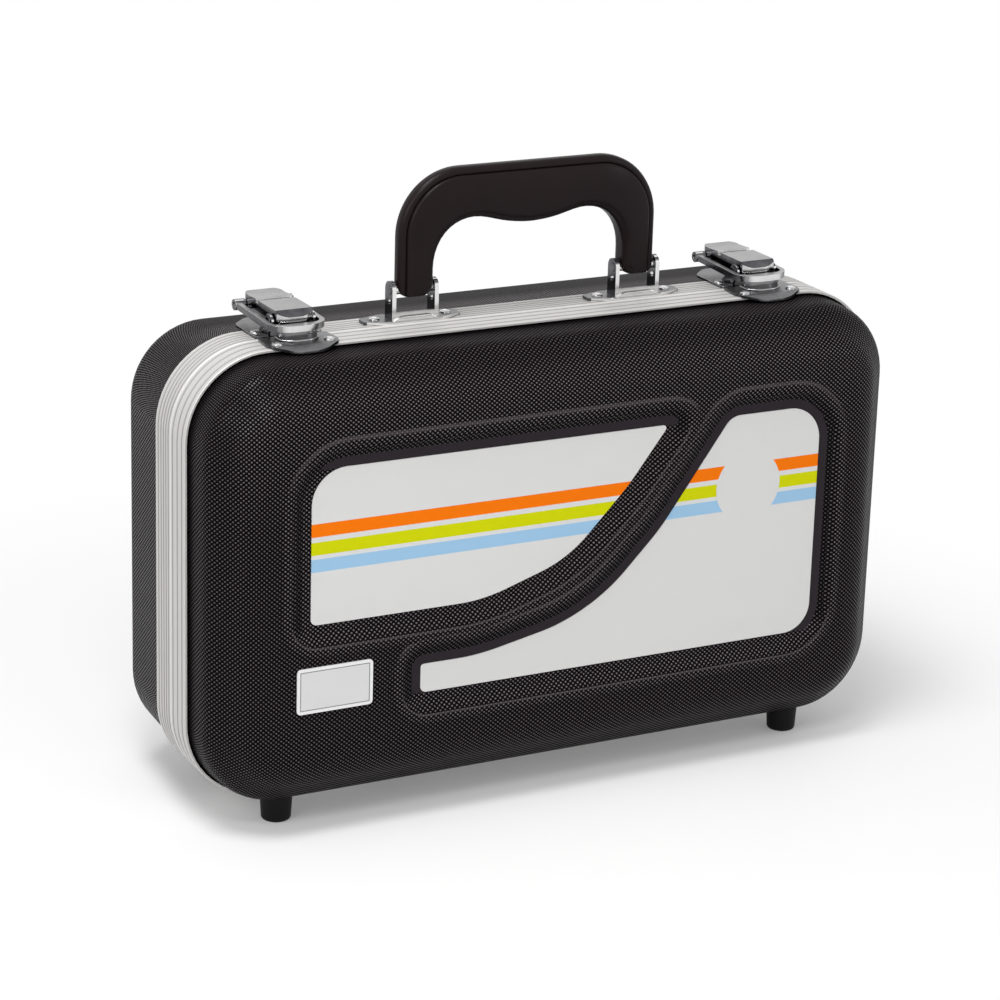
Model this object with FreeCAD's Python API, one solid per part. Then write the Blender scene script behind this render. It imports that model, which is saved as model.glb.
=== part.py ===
"""Clarinet case: two moulded ABS shells in aluminium valances, hinged along the bottom edge.

X runs along the case, Y from the front face to the back, Z up, with the origin on the ground
midway between the outermost front and back. The case stands on four feet on its hinge side,
closed, with both drawbolt latches shut and the carrying handle upright. Millimetres.
"""
import FreeCAD
import Part
import math
import os

from FreeCAD import Vector

# Case body
CASE_LENGTH = 360.0
CASE_HEIGHT = 213.0
CORNER_R = 40.0
LID_DEPTH = 51.45
BODY_DEPTH = 78.45
GROUND_GAP = 9.8
SEAM = 0.3

# Moulded shells
WALL = 2.5
DRAFT_DEG = 3.0
SLOPE = 18.0
SLOPE_DEG = 45.0
EDGE_R = 12.0
FACE_R = 22.0
BEND_CHORDS = (3, 4)

# Valance extrusions
VALANCE_DEPTH = 17.0
SKIN = 1.2
SKIN_FIT = 0.1
WEB = 3.2
INNER_LIP_DEPTH = 8.0
INNER_LIP = 1.2
TONGUE = 1.2
TONGUE_LENGTH = 1.5
TONGUE_INSET = 2.2
TONGUE_CLEAR = 0.6
GROOVE_W = 0.9
GROOVE_D = 0.35
GROOVE_SHARES = (0.20, 0.50, 0.80)

# Recessed panels on the front face, outlines in shares of the half length and the height,
# and their corner radii in shares of the half length
RECESS = 2.75
FRAME_W = 11.5
LEDGE_W = 4.8
SHEET = 0.8
SHEET_SINK = 0.6
SHEET_GAP = 0.15
LEFT_SHARES = ((-0.7361, 0.7774), (0.2739, 0.7774), (0.1594, 0.6502), (-0.0111, 0.5014),
               (-0.2556, 0.4347), (-0.7361, 0.4347))
RIGHT_SHARES = ((-0.4278, 0.3089), (-0.2667, 0.3089), (-0.0222, 0.3507), (0.1111, 0.4094),
                (0.2611, 0.5385), (0.4639, 0.7779), (0.7381, 0.7779), (0.7381, 0.2437),
                (-0.4278, 0.2437))
LEFT_R_SHARES = (0.0944, 0.0083, 0.5556, 0.3333, 0.4444, 0.0167)
RIGHT_R_SHARES = (0.0083, 0.5556, 0.4444, 0.4444, 0.5556, 0.0500, 0.0944, 0.0778, 0.0167)

# Bare nameplate
PLATE_W = 37.7
PLATE_H = 21.9
PLATE_T = 0.6
PLATE_R = 2.0
PLATE_PLACE_SHARES = (-0.6742, 0.2939)

# Feet
FOOT_TOP_R = 7.8
FOOT_BOTTOM_R = 6.9
FOOT_EDGE_R = 1.5
FOOT_HEAD = 4.0
FOOT_X_SHARE = 0.7633
FRONT_FOOT_SETBACK = 23.4
REAR_FOOT_SETBACK = 47.2

# Fitted tray
TRAY_CLEAR = 0.4
TRAY_DROP = 2.0
TRAY_RIB = 6.0
TRAY_RIB_WIDE = 8.0
TRAY_BOTTOM_MARGIN = 14.2
TRAY_TOP_MARGIN = 20.8
UPPER_ROW_END = 21.0
LOWER_ROW_END = 12.0
BELL_ROW_END = 29.0
ROW_HEIGHT_SHARES = (0.4878, 0.2683, 0.2439)
UPPER_JOINT_SHARE = 0.7885
LOWER_JOINT_SHARE = 0.7940
BELL_SHARE = 0.3673
POCKET_HEIGHT_SHARE = 0.5
JOINT_DEPTH = 44.0
BELL_DEPTH = 68.0
POCKET_DEPTH = 40.0
POCKET_R = 5.0

# Lid lining
PAD_T = 5.0
PAD_MARGIN = 30.0
PAD_R = 22.0

# Hinges under the bottom valance
HINGE_X_SHARE = 0.61
HINGE_LENGTH = 50.0
HINGE_LEAF = 1.2
HINGE_LEAF_W = 14.0
HINGE_BARREL_R = 2.4
HINGE_PIN_R = 1.2
HINGE_DROP = 0.2
KNUCKLES = 5
RUN_FIT = 0.06
RUN_GAP = 0.3

# Rivets
RIVET_R = 2.6
RIVET_H = 1.1

# Drawbolt latches on the top valance
LATCH_X_SHARE = 0.6756
BASE_T = 1.2
BASE_HALF_W = 16.4
BASE_LENGTH = 33.0
BASE_EAR_T = 1.2
BASE_EAR_GAP = 0.6
BASE_EAR_R = 3.4
BASE_EAR_FOOT = 10.0
FULCRUM_AHEAD = 0.3
FULCRUM_RISE = 8.2
LATCH_PIN_R = 1.2
LEVER_HALF_W = 9.0
LEVER_T = 1.2
LEVER_NOSE = 6.0
LEVER_TOP = 5.5
LEVER_BEVEL = 3.0
LEVER_FLANGE = 3.4
LEVER_BOW = 1.8
LEVER_BOW_R = 9.0
BOX_LENGTH = 21.5
STEP_W = 3.0
STEP_DROP = 1.6
TAB_LENGTH = 16.0
TAB_RISE = 0.2
TAB_FALL = 0.2
TAB_R = 5.0
LOOP_PIN_BACK = 31.0
LOOP_PIN_RISE = 0.3
LOOP_BAR_AHEAD = 11.5
LOOP_BAR_DROP = 1.2
LOOP_STRAP = 2.4
LOOP_TALL = 3.0
LOOP_HALF_W = 14.1
LOOP_BOW = 4.5
LOOP_BOW_HALF_W = 6.0
LOOP_CORNER_R = 6.5
LOOP_NOSE_R = 14.0
EYE_R = 2.6
EYE_OVER = 0.3
EYE_PIN_SHORT = 0.6
KEEPER_T = 1.2
KEEPER_REAR = 1.3
KEEPER_OVERHANG = 6.3
KEEPER_BEND = 0.3
KEEPER_FALL = 2.1
KEEPER_HALF_W = 17.6
KEEPER_FRONT_HALF_W = 16.4
KEEPER_REAR_HALF_W = 16.6
KEEPER_NOSE_HALF_W = 7.0
KEEPER_NOSE_R = 12.0
KEEPER_BOW = 6.4
KEEPER_RIVET_IN = 3.6
STEP_HALF_W = 9.6
STEP_RISE = 1.1
STEP_AHEAD = 2.9
HUMP_LENGTH = 2.9
HUMP_RISE = 7.0
PLATE_CORNER_R = 2.5

# Carrying handle and its brackets
HANDLE_HALF_W = 67.0
HANDLE_TOP = 55.3
HANDLE_T = 15.0
HANDLE_SETBACK = 5.0
HANDLE_OUTER_R_SHARE = 0.4597
HANDLE_INNER_R_SHARE = 0.3284
HANDLE_GRIP_R_SHARE = 0.8955
HANDLE_EDGE_R = 5.5
HANDLE_END_R = 6.0
LEG_W = 17.2
LEG_BELOW_PIN = 3.5
GRIP_DEPTH = 28.3
GRIP_SLOPE_DEG = 14.5
GRIP_SWELL_SHARE = 0.1209
PIVOT_RISE = 15.2
BRACKET_T = 1.5
BRACKET_HALF_L = 24.5
BRACKET_HALF_W = 6.9
BRACKET_END_SHARE = 0.52
BRACKET_MIDDLE_SHARE = 0.56
BRACKET_R = 6.0
BRACKET_SET = 0.5
BRACKET_LIP = 3.6
EAR_T = 2.0
EAR_SIDE_GAP = 1.2
EAR_DEPTH = 8.5
HANDLE_PIN_R = 2.2
EAR_HOLE_R = 1.5
EAR_HOLE_DROP = 5.0

# Shared overrun of every cutting solid
OVER = 2.0

PART_Y = (LID_DEPTH + PLATE_T - BODY_DEPTH) / 2
TOP_Z = GROUND_GAP + CASE_HEIGHT
HALF_LENGTH = CASE_LENGTH / 2
LATCH_X = LATCH_X_SHARE * HALF_LENGTH
SHELL_INSET = SKIN + SKIN_FIT
DRAFT = math.tan(math.radians(DRAFT_DEG))
INNER_LIP_INSET = SHELL_INSET + WALL + DRAFT * INNER_LIP_DEPTH + SKIN_FIT
INNER_LIP_END = INNER_LIP_INSET + INNER_LIP
FRONT = -1
REAR = 1


def depth_y(side, depth):
    """Y of a plane at a depth from the parting plane, towards the front or the rear."""
    return PART_Y + side * depth


def in_xz(y):
    """Placing function for outlines drawn in X and Z."""
    return lambda u, v: Vector(u, y, v)


def in_yz(x):
    """Placing function for outlines drawn in Y and Z."""
    return lambda u, v: Vector(x, u, v)


def in_xy(z):
    """Placing function for outlines drawn in X and Y."""
    return lambda u, v: Vector(u, v, z)


def unit(start, end):
    """Unit direction and length from one 2-D point to another."""
    run = end[0] - start[0]
    rise = end[1] - start[1]
    length = math.hypot(run, rise)
    return run / length, rise / length, length


def rounded_wire(corners, place):
    """Closed wire of straight runs joined by tangent arcs, from (u, v, radius) corners."""
    spans = []
    count = len(corners)
    for index, corner in enumerate(corners):
        before = corners[index - 1]
        after = corners[(index + 1) % count]
        back = unit(corner, before)
        ahead = unit(corner, after)
        cosine = back[0] * ahead[0] + back[1] * ahead[1]
        half = math.acos(max(-1.0, min(1.0, cosine))) / 2
        if corner[2] <= 0 or half >= math.pi / 2 - 1e-6:
            point = place(corner[0], corner[1])
            spans.append((point, None, point))
            continue
        reach = corner[2] / math.tan(half)
        start = (corner[0] + back[0] * reach, corner[1] + back[1] * reach)
        end = (corner[0] + ahead[0] * reach, corner[1] + ahead[1] * reach)
        to_middle = unit(corner, ((start[0] + end[0]) / 2, (start[1] + end[1]) / 2))
        gap = corner[2] / math.sin(half) - corner[2]
        middle = (corner[0] + to_middle[0] * gap, corner[1] + to_middle[1] * gap)
        spans.append((place(*start), place(*middle), place(*end)))
    edges = []
    for index, (start, middle, end) in enumerate(spans):
        if middle is not None:
            edges.append(Part.Arc(start, middle, end).toShape())
        following = spans[(index + 1) % count][0]
        if end.distanceToPoint(following) > 1e-6:
            edges.append(Part.LineSegment(end, following).toShape())
    return Part.Wire(edges)


def grown(corners, distance):
    """Corners of the parallel outline that lies a distance outside another."""
    count = len(corners)
    area = sum(corners[i - 1][0] * corners[i][1] - corners[i][0] * corners[i - 1][1]
               for i in range(count))
    turning = 1 if area > 0 else -1
    result = []
    for index, corner in enumerate(corners):
        coming = unit(corners[index - 1], corner)
        going = unit(corner, corners[(index + 1) % count])
        out_a = (coming[1] * turning, -coming[0] * turning)
        out_b = (going[1] * turning, -going[0] * turning)
        scale = distance / (1 + out_a[0] * out_b[0] + out_a[1] * out_b[1])
        convex = (coming[0] * going[1] - coming[1] * going[0]) * turning > 0
        radius = corner[2] + distance if convex else corner[2] - distance
        result.append((corner[0] + (out_a[0] + out_b[0]) * scale,
                       corner[1] + (out_a[1] + out_b[1]) * scale, radius))
    return result


def extruded(corners, place, direction):
    """Solid prism over a rounded outline."""
    return Part.Face(rounded_wire(corners, place)).extrude(direction)


def rectangle(u0, u1, v0, v1, radius):
    """Corners of a rounded rectangle."""
    return [(u0, v0, radius), (u1, v0, radius), (u1, v1, radius), (u0, v1, radius)]


def box(x0, x1, y0, y1, z0, z1):
    """Plain block between two corners."""
    return Part.makeBox(x1 - x0, y1 - y0, z1 - z0, Vector(x0, y0, z0))


def rod(x0, x1, y, z, radius):
    """Cylinder along X."""
    return Part.makeCylinder(radius, x1 - x0, Vector(x0, y, z), Vector(1, 0, 0))


def case_corners(inset):
    """Rounded rectangle of the case, drawn in by an inset."""
    radius = CORNER_R - inset
    return rectangle(-HALF_LENGTH + inset, HALF_LENGTH - inset, GROUND_GAP + inset,
                     TOP_Z - inset, radius)


def ring(side, start, end, outer_inset, inner_inset):
    """Band that follows the case outline between two depths and two insets."""
    y = depth_y(side, start)
    run = Vector(0, side * (end - start), 0)
    outer = extruded(case_corners(outer_inset), in_xz(y), run)
    inner = extruded(case_corners(inner_inset), in_xz(y), run)
    return outer.cut(inner)


def soft_bend(before, corner, after, radius, chords):
    """Points of the arc that rounds one corner of a section, in even chords."""
    back = unit(corner, before)
    ahead = unit(corner, after)
    half = math.acos(back[0] * ahead[0] + back[1] * ahead[1]) / 2
    reach = radius / math.tan(half)
    to_centre = unit((0, 0), (back[0] + ahead[0], back[1] + ahead[1]))
    run = radius / math.sin(half)
    centre = (corner[0] + to_centre[0] * run, corner[1] + to_centre[1] * run)
    start = (corner[0] + back[0] * reach - centre[0], corner[1] + back[1] * reach - centre[1])
    turning = 1 if back[0] * ahead[1] - back[1] * ahead[0] < 0 else -1
    points = []
    for index in range(chords + 1):
        angle = turning * (math.pi - 2 * half) * index / chords
        points.append((centre[0] + start[0] * math.cos(angle) - start[1] * math.sin(angle),
                       centre[1] + start[0] * math.sin(angle) + start[1] * math.cos(angle)))
    return points


def tub(side, depth, inward, start):
    """Solid within the drafted walls, slopes and soft edges of one half of the case."""
    pitch = math.tan(math.radians(SLOPE_DEG))
    lean = math.tan(math.radians(SLOPE_DEG / 2))
    edge = depth - SLOPE - lean * inward
    face = depth - inward
    rim = (start, SHELL_INSET + DRAFT * start + inward)
    shoulder = (edge, SHELL_INSET + DRAFT * edge + inward)
    brow = (face, shoulder[1] + (face - edge) * pitch)
    middle = (face, CASE_HEIGHT / 2)
    stations = [rim]
    stations += soft_bend(rim, shoulder, brow, EDGE_R - inward, BEND_CHORDS[0])
    stations += soft_bend(shoulder, brow, middle, FACE_R - inward, BEND_CHORDS[1])
    wires = [rounded_wire(case_corners(inset), in_xz(depth_y(side, at))) for at, inset in stations]
    return Part.makeLoft(wires, True, True)


def shell(side, depth):
    """Moulded half shell with an even wall."""
    outer = tub(side, depth, 0, WEB)
    inner = tub(side, depth, WALL, WEB - OVER)
    return outer.cut(inner)


def panel_outlines():
    """Corner lists of the left and the right panel on the front face."""
    def placed(shares, radius_shares):
        return [(x * HALF_LENGTH, GROUND_GAP + z * CASE_HEIGHT, radius * HALF_LENGTH)
                for (x, z), radius in zip(shares, radius_shares)]
    return placed(LEFT_SHARES, LEFT_R_SHARES), placed(RIGHT_SHARES, RIGHT_R_SHARES)


def recess_cut(outline):
    """Cutting solid of one panel's bevelled frame, its ledge and the seat of its sheet."""
    face_y = depth_y(FRONT, LID_DEPTH)
    floor_y = face_y + RECESS - SHEET_SINK / 3
    slope = (FRAME_W - LEDGE_W) / (floor_y - face_y)
    mouth = grown(outline, FRAME_W + slope * OVER)
    ledge = grown(outline, LEDGE_W)
    wires = [rounded_wire(mouth, in_xz(face_y - OVER)), rounded_wire(ledge, in_xz(floor_y))]
    bevel = Part.makeLoft(wires, True, True)
    seat = grown(outline, SHEET_GAP)
    pocket = extruded(seat, in_xz(floor_y - OVER), Vector(0, OVER + SHEET_SINK, 0))
    return bevel.fuse(pocket)


def panel_sheet(outline):
    """Printed sheet that lies in one recess."""
    seat_y = depth_y(FRONT, LID_DEPTH) + RECESS - SHEET_SINK / 3 + SHEET_SINK
    return extruded(outline, in_xz(seat_y - SHEET), Vector(0, SHEET, 0))


def front_shell():
    """Lid shell with the two bevelled recesses and the thickened seats behind them."""
    solid = shell(FRONT, LID_DEPTH)
    inner_y = depth_y(FRONT, LID_DEPTH - WALL)
    for outline in panel_outlines():
        backing = extruded(grown(outline, FRAME_W), in_xz(inner_y - WALL / 2),
                           Vector(0, WALL / 2 + RECESS, 0))
        solid = solid.fuse(backing)
    for outline in panel_outlines():
        solid = solid.cut(recess_cut(outline))
    return solid.removeSplitter()


def valance(side):
    """Extruded rim of one half: grooved skin, web and inner lip that hold the shell edge."""
    skin = ring(side, SEAM / 2, VALANCE_DEPTH, 0, SKIN)
    web = ring(side, SEAM / 2, WEB, 0, INNER_LIP_END)
    lip = ring(side, SEAM / 2, INNER_LIP_DEPTH, INNER_LIP_INSET, INNER_LIP_END)
    solid = skin.fuse([web, lip])
    for share in GROOVE_SHARES:
        middle = share * VALANCE_DEPTH
        solid = solid.cut(ring(side, middle - GROOVE_W / 2, middle + GROOVE_W / 2, -OVER, GROOVE_D))
    return solid


def front_valance():
    """Lid rim with the groove that takes the tongue of the other half."""
    groove = ring(FRONT, -OVER, TONGUE_LENGTH + TONGUE_CLEAR / 2, TONGUE_INSET - TONGUE_CLEAR,
                  TONGUE_INSET + TONGUE + TONGUE_CLEAR)
    return valance(FRONT).cut(groove).removeSplitter()


def rear_valance():
    """Body rim with its sealing tongue."""
    tongue = ring(REAR, -TONGUE_LENGTH, SEAM, TONGUE_INSET, TONGUE_INSET + TONGUE)
    return valance(REAR).fuse(tongue).removeSplitter()


def nameplate():
    """Bare plate low on the left of the front face."""
    x = PLATE_PLACE_SHARES[0] * HALF_LENGTH
    z = GROUND_GAP + PLATE_PLACE_SHARES[1] * CASE_HEIGHT
    corners = rectangle(x - PLATE_W / 2, x + PLATE_W / 2, z - PLATE_H / 2, z + PLATE_H / 2, PLATE_R)
    return extruded(corners, in_xz(depth_y(FRONT, LID_DEPTH)), Vector(0, -PLATE_T, 0))


def lid_pad():
    """Foam-backed lining sheet behind the panels."""
    back_y = depth_y(FRONT, LID_DEPTH - RECESS - WALL)
    corners = rectangle(-HALF_LENGTH + PAD_MARGIN, HALF_LENGTH - PAD_MARGIN,
                        GROUND_GAP + PAD_MARGIN, TOP_Z - PAD_MARGIN, PAD_R)
    return extruded(corners, in_xz(back_y), Vector(0, PAD_T, 0))


def foot(x, side, setback, shell_depth):
    """Moulded foot whose top follows the underside of its shell."""
    y = depth_y(side, setback)
    height = GROUND_GAP + SKIN + FOOT_HEAD
    profile = [(0, 0, 0), (FOOT_BOTTOM_R, 0, FOOT_EDGE_R), (FOOT_TOP_R, height, 0), (0, height, 0)]
    turned = Part.Face(rounded_wire(profile, lambda u, v: Vector(x + u, y, v)))
    solid = turned.revolve(Vector(x, y, 0), Vector(0, 0, 1), 360)
    rim = ring(side, SEAM / 2, VALANCE_DEPTH, 0, SKIN)
    return solid.cut([tub(side, shell_depth, 0, WEB), rim])


def feet(side, setback, shell_depth):
    """Both feet of one half."""
    x = FOOT_X_SHARE * HALF_LENGTH
    return Part.makeCompound([foot(-x, side, setback, shell_depth),
                              foot(x, side, setback, shell_depth)])


def row_levels():
    """Centre height and cavity height of the bell, lower joint and upper joint rows."""
    usable = CASE_HEIGHT - TRAY_BOTTOM_MARGIN - TRAY_TOP_MARGIN - TRAY_RIB_WIDE - TRAY_RIB
    heights = [share * usable for share in ROW_HEIGHT_SHARES]
    bell = GROUND_GAP + TRAY_BOTTOM_MARGIN + heights[0] / 2
    lower = bell + heights[0] / 2 + TRAY_RIB_WIDE + heights[1] / 2
    upper = lower + heights[1] / 2 + TRAY_RIB + heights[2] / 2
    return list(zip((bell, lower, upper), heights))


def trough(x0, x1, level, height, depth):
    """Round-bottomed cavity for a tube that lies along X."""
    radius = height / 2
    axis_y = depth_y(REAR, depth - radius)
    mouth_y = depth_y(REAR, TRAY_DROP - OVER)
    block = box(x0, x1, mouth_y, axis_y, level - radius, level + radius)
    return block.fuse(rod(x0, x1, axis_y, level, radius))


def pocket(x0, x1, z0, z1, depth):
    """Flat-bottomed cavity with round corners."""
    mouth_y = depth_y(REAR, TRAY_DROP - OVER)
    run = Vector(0, depth_y(REAR, depth) - mouth_y, 0)
    return extruded(rectangle(x0, x1, z0, z1, POCKET_R), in_xz(mouth_y), run)


def cavities():
    """Every cavity of the tray, by name."""
    bell, lower, upper = row_levels()
    upper_half = HALF_LENGTH - UPPER_ROW_END
    lower_half = HALF_LENGTH - LOWER_ROW_END
    bell_half = HALF_LENGTH - BELL_ROW_END
    upper_split = -upper_half + UPPER_JOINT_SHARE * (2 * upper_half - TRAY_RIB)
    lower_split = -lower_half + LOWER_JOINT_SHARE * (2 * lower_half - TRAY_RIB)
    bell_split = -bell_half + BELL_SHARE * (2 * bell_half - TRAY_RIB_WIDE)
    pocket_x = bell_split + TRAY_RIB_WIDE
    middle_x = (pocket_x + bell_half) / 2
    low_z = bell[0] - bell[1] / 2
    high_z = bell[0] + bell[1] / 2
    split_z = low_z + POCKET_HEIGHT_SHARE * (bell[1] - TRAY_RIB_WIDE)
    return [
        trough(-upper_half, upper_split, *upper, JOINT_DEPTH),
        trough(upper_split + TRAY_RIB, upper_half, *upper, JOINT_DEPTH),
        trough(-lower_half, lower_split, *lower, JOINT_DEPTH),
        trough(lower_split + TRAY_RIB, lower_half, *lower, JOINT_DEPTH),
        trough(-bell_half, bell_split, *bell, BELL_DEPTH),
        pocket(pocket_x, bell_half, low_z, split_z, POCKET_DEPTH),
        pocket(pocket_x, middle_x - TRAY_RIB / 2, split_z + TRAY_RIB_WIDE, high_z, POCKET_DEPTH),
        pocket(middle_x + TRAY_RIB / 2, bell_half, split_z + TRAY_RIB_WIDE, high_z, POCKET_DEPTH),
    ]


def tray():
    """Plush-covered foam block shaped to the taken-down clarinet."""
    inward = INNER_LIP_END + TRAY_CLEAR - SHELL_INSET
    solid = tub(REAR, BODY_DEPTH - WALL - RUN_GAP + inward, inward, TRAY_DROP)
    return solid.cut(cavities())


def hinge_axis():
    """Y and Z of the hinge line."""
    return PART_Y, GROUND_GAP - HINGE_BARREL_R - HINGE_DROP


def hinge_leaf(side, x_middle, first):
    """Leaf with every other knuckle, starting with the first or the second."""
    axis_y, axis_z = hinge_axis()
    reach = HINGE_BARREL_R + RUN_GAP
    y_near = depth_y(side, reach)
    y_far = depth_y(side, HINGE_LEAF_W)
    x0 = x_middle - HINGE_LENGTH / 2
    pitch = HINGE_LENGTH / KNUCKLES
    low_z = GROUND_GAP - HINGE_LEAF
    solid = box(x0, x0 + HINGE_LENGTH, min(y_near, y_far), max(y_near, y_far), low_z, GROUND_GAP)
    for index in range(first, KNUCKLES, 2):
        start = x0 + index * pitch + RUN_GAP / 2
        end = start + pitch - RUN_GAP
        strap = box(start, end, min(axis_y, y_near), max(axis_y, y_near), low_z, GROUND_GAP)
        knuckle = rod(start, end, axis_y, axis_z, HINGE_BARREL_R)
        solid = solid.fuse([strap, knuckle])
    return solid.cut(rod(x0 - OVER, x0 + HINGE_LENGTH + OVER, axis_y, axis_z,
                         HINGE_PIN_R + RUN_FIT)).removeSplitter()


def hinge_places():
    """X of both hinges."""
    return -HINGE_X_SHARE * HALF_LENGTH, HINGE_X_SHARE * HALF_LENGTH


def hinge_leaves(side, first):
    """Both leaves of one half."""
    return Part.makeCompound([hinge_leaf(side, x, first) for x in hinge_places()])


def hinge_pins():
    """Both hinge pins."""
    axis_y, axis_z = hinge_axis()
    half = HINGE_LENGTH / 2
    return Part.makeCompound([rod(x - half, x + half, axis_y, axis_z, HINGE_PIN_R)
                              for x in hinge_places()])


def rivet(x, y, z, up):
    """Rivet head with sloping sides on a plate, pointing up or down."""
    return Part.makeCone(RIVET_R, RIVET_R - RIVET_H, RIVET_H, Vector(x, y, z), Vector(0, 0, up))


def hinge_rivets(side):
    """Two rivets in each leaf of one half."""
    y = depth_y(side, (HINGE_BARREL_R + RUN_GAP + HINGE_LEAF_W) / 2)
    z = GROUND_GAP - HINGE_LEAF
    reach = HINGE_LENGTH / 2 - 2 * RIVET_R
    return Part.makeCompound([rivet(x + end * reach, y, z, -1)
                              for x in hinge_places() for end in (-1, 1)])


def fulcrum():
    """Y and Z of the lever's own pin."""
    return depth_y(FRONT, FULCRUM_AHEAD), TOP_Z + FULCRUM_RISE


def loop_pin():
    """Y and Z of the pin that joins lever and loop."""
    y, z = fulcrum()
    return y + LOOP_PIN_BACK, z + LOOP_PIN_RISE


def loop_bar():
    """Y and Z of the loop's front bar."""
    y, z = fulcrum()
    return y - LOOP_BAR_AHEAD, z - LOOP_BAR_DROP


def latch_base(x):
    """Base plate with the two upright ears that carry the lever."""
    y0 = depth_y(REAR, SEAM)
    y1 = y0 + BASE_LENGTH
    half = BASE_HALF_W
    corners = [(x - half, y0, PLATE_CORNER_R), (x + half, y0, PLATE_CORNER_R),
               (x + half, y1 - half / 2, half / 3), (x + half / 2, y1, half / 3),
               (x - half / 2, y1, half / 3), (x - half, y1 - half / 2, half / 3)]
    solid = extruded(corners, in_xy(TOP_Z), Vector(0, 0, BASE_T))
    pin_y, pin_z = fulcrum()
    inner = LEVER_HALF_W + BASE_EAR_GAP
    low_z = TOP_Z + BASE_T / 2
    lean = [(y0, low_z, 0), (y0 + BASE_EAR_FOOT, low_z, 0), (y0 + BASE_EAR_FOOT, TOP_Z + 2 * BASE_T, 0),
            (pin_y + BASE_EAR_R, pin_z, 0), (pin_y - BASE_EAR_R, pin_z, 0),
            (y0, TOP_Z + 2 * BASE_T, 0)]
    for side in (-1, 1):
        near = x + side * inner
        start = min(near, near + side * BASE_EAR_T)
        upright = extruded(lean, in_yz(start), Vector(BASE_EAR_T, 0, 0))
        crown = rod(start, start + BASE_EAR_T, pin_y, pin_z, BASE_EAR_R)
        solid = solid.fuse([upright, crown])
    return solid.cut(rod(x - BASE_HALF_W, x + BASE_HALF_W, pin_y, pin_z, LATCH_PIN_R + RUN_FIT))


def fulcrum_pin(x):
    """Pin through both ears and the lever."""
    pin_y, pin_z = fulcrum()
    half = LEVER_HALF_W + BASE_EAR_GAP + BASE_EAR_T + RUN_GAP
    return rod(x - half, x + half, pin_y, pin_z, LATCH_PIN_R)


def lever_profile(thin):
    """Side outline of the lever, or of the hollow under its top when drawn in."""
    pin_y, pin_z = fulcrum()
    end_y, end_z = loop_pin()
    nose_y = pin_y - LEVER_NOSE + thin
    top_z = pin_z + LEVER_TOP - thin
    bevel = LEVER_BEVEL
    box_y = pin_y - LEVER_NOSE + BOX_LENGTH
    tab_y = box_y + STEP_W
    rear_y = tab_y + TAB_LENGTH
    tip_z = top_z + TAB_RISE - TAB_FALL
    low_z = pin_z - LEVER_FLANGE
    outline = [(nose_y, pin_z, 0), (nose_y, top_z - bevel, 0), (nose_y + bevel, top_z, 0),
               (box_y - thin, top_z, 0), (box_y - thin / 2, top_z - STEP_DROP, 0),
               (tab_y + thin / 2, top_z - STEP_DROP, 0), (tab_y + thin, top_z + TAB_RISE, 0),
               ((tab_y + rear_y) / 2, top_z + TAB_RISE - TAB_FALL / 4, TAB_LENGTH)]
    if thin:
        return outline + [(rear_y + OVER, tip_z, 0), (rear_y + OVER, low_z - OVER, 0),
                          (nose_y, low_z - OVER, 0)]
    return outline + [(rear_y, tip_z, 0), (rear_y, tip_z - LEVER_T, 0),
                      (end_y + EYE_R, end_z - EYE_R, 0), (end_y - EYE_R, end_z - EYE_R, 0),
                      (pin_y + LEVER_FLANGE, low_z, 0), (pin_y - LEVER_FLANGE, low_z, 0)]


def lever(x):
    """Folded lever: bevelled box over the fulcrum, step, and dished finger tab."""
    half = LEVER_HALF_W
    body = extruded(lever_profile(0), in_yz(x - half), Vector(2 * half, 0, 0))
    inner = half - LEVER_T
    hollow = extruded(lever_profile(LEVER_T), in_yz(x - inner), Vector(2 * inner, 0, 0))
    solid = body.cut(hollow)
    pin_y, pin_z = fulcrum()
    end_y, end_z = loop_pin()
    rear_y = pin_y - LEVER_NOSE + BOX_LENGTH + STEP_W + TAB_LENGTH
    nose_y = pin_y - LEVER_NOSE
    plan = [(x - half, nose_y + LEVER_BOW, 0), (x - half / 2, nose_y, LEVER_BOW_R),
            (x + half / 2, nose_y, LEVER_BOW_R), (x + half, nose_y + LEVER_BOW, 0),
            (x + half, rear_y, TAB_R), (x - half, rear_y, TAB_R)]
    low_z = pin_z - LEVER_FLANGE - OVER
    rise = Vector(0, 0, LEVER_FLANGE + LEVER_TOP + TAB_RISE + 3 * OVER)
    solid = solid.common(extruded(plan, in_xy(low_z), rise))
    for y, z in ((pin_y, pin_z), (end_y, end_z)):
        solid = solid.cut(rod(x - half - OVER, x + half + OVER, y, z, LATCH_PIN_R + RUN_FIT))
    return solid


def loop_pin_solid(x):
    """Pin that carries the loop's eyes on the lever."""
    y, z = loop_pin()
    half = LOOP_HALF_W + EYE_OVER - EYE_PIN_SHORT
    return rod(x - half, x + half, y, z, LATCH_PIN_R)


def loop_plan(x, front_y, rear_y):
    """Outer outline of the loop seen from above, with its bowed front."""
    half = LOOP_HALF_W
    return [(x - half, rear_y, 0), (x - half, front_y + LOOP_BOW, LOOP_CORNER_R),
            (x - LOOP_BOW_HALF_W, front_y, LOOP_NOSE_R), (x + LOOP_BOW_HALF_W, front_y, LOOP_NOSE_R),
            (x + half, front_y + LOOP_BOW, LOOP_CORNER_R), (x + half, rear_y, 0)]


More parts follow.
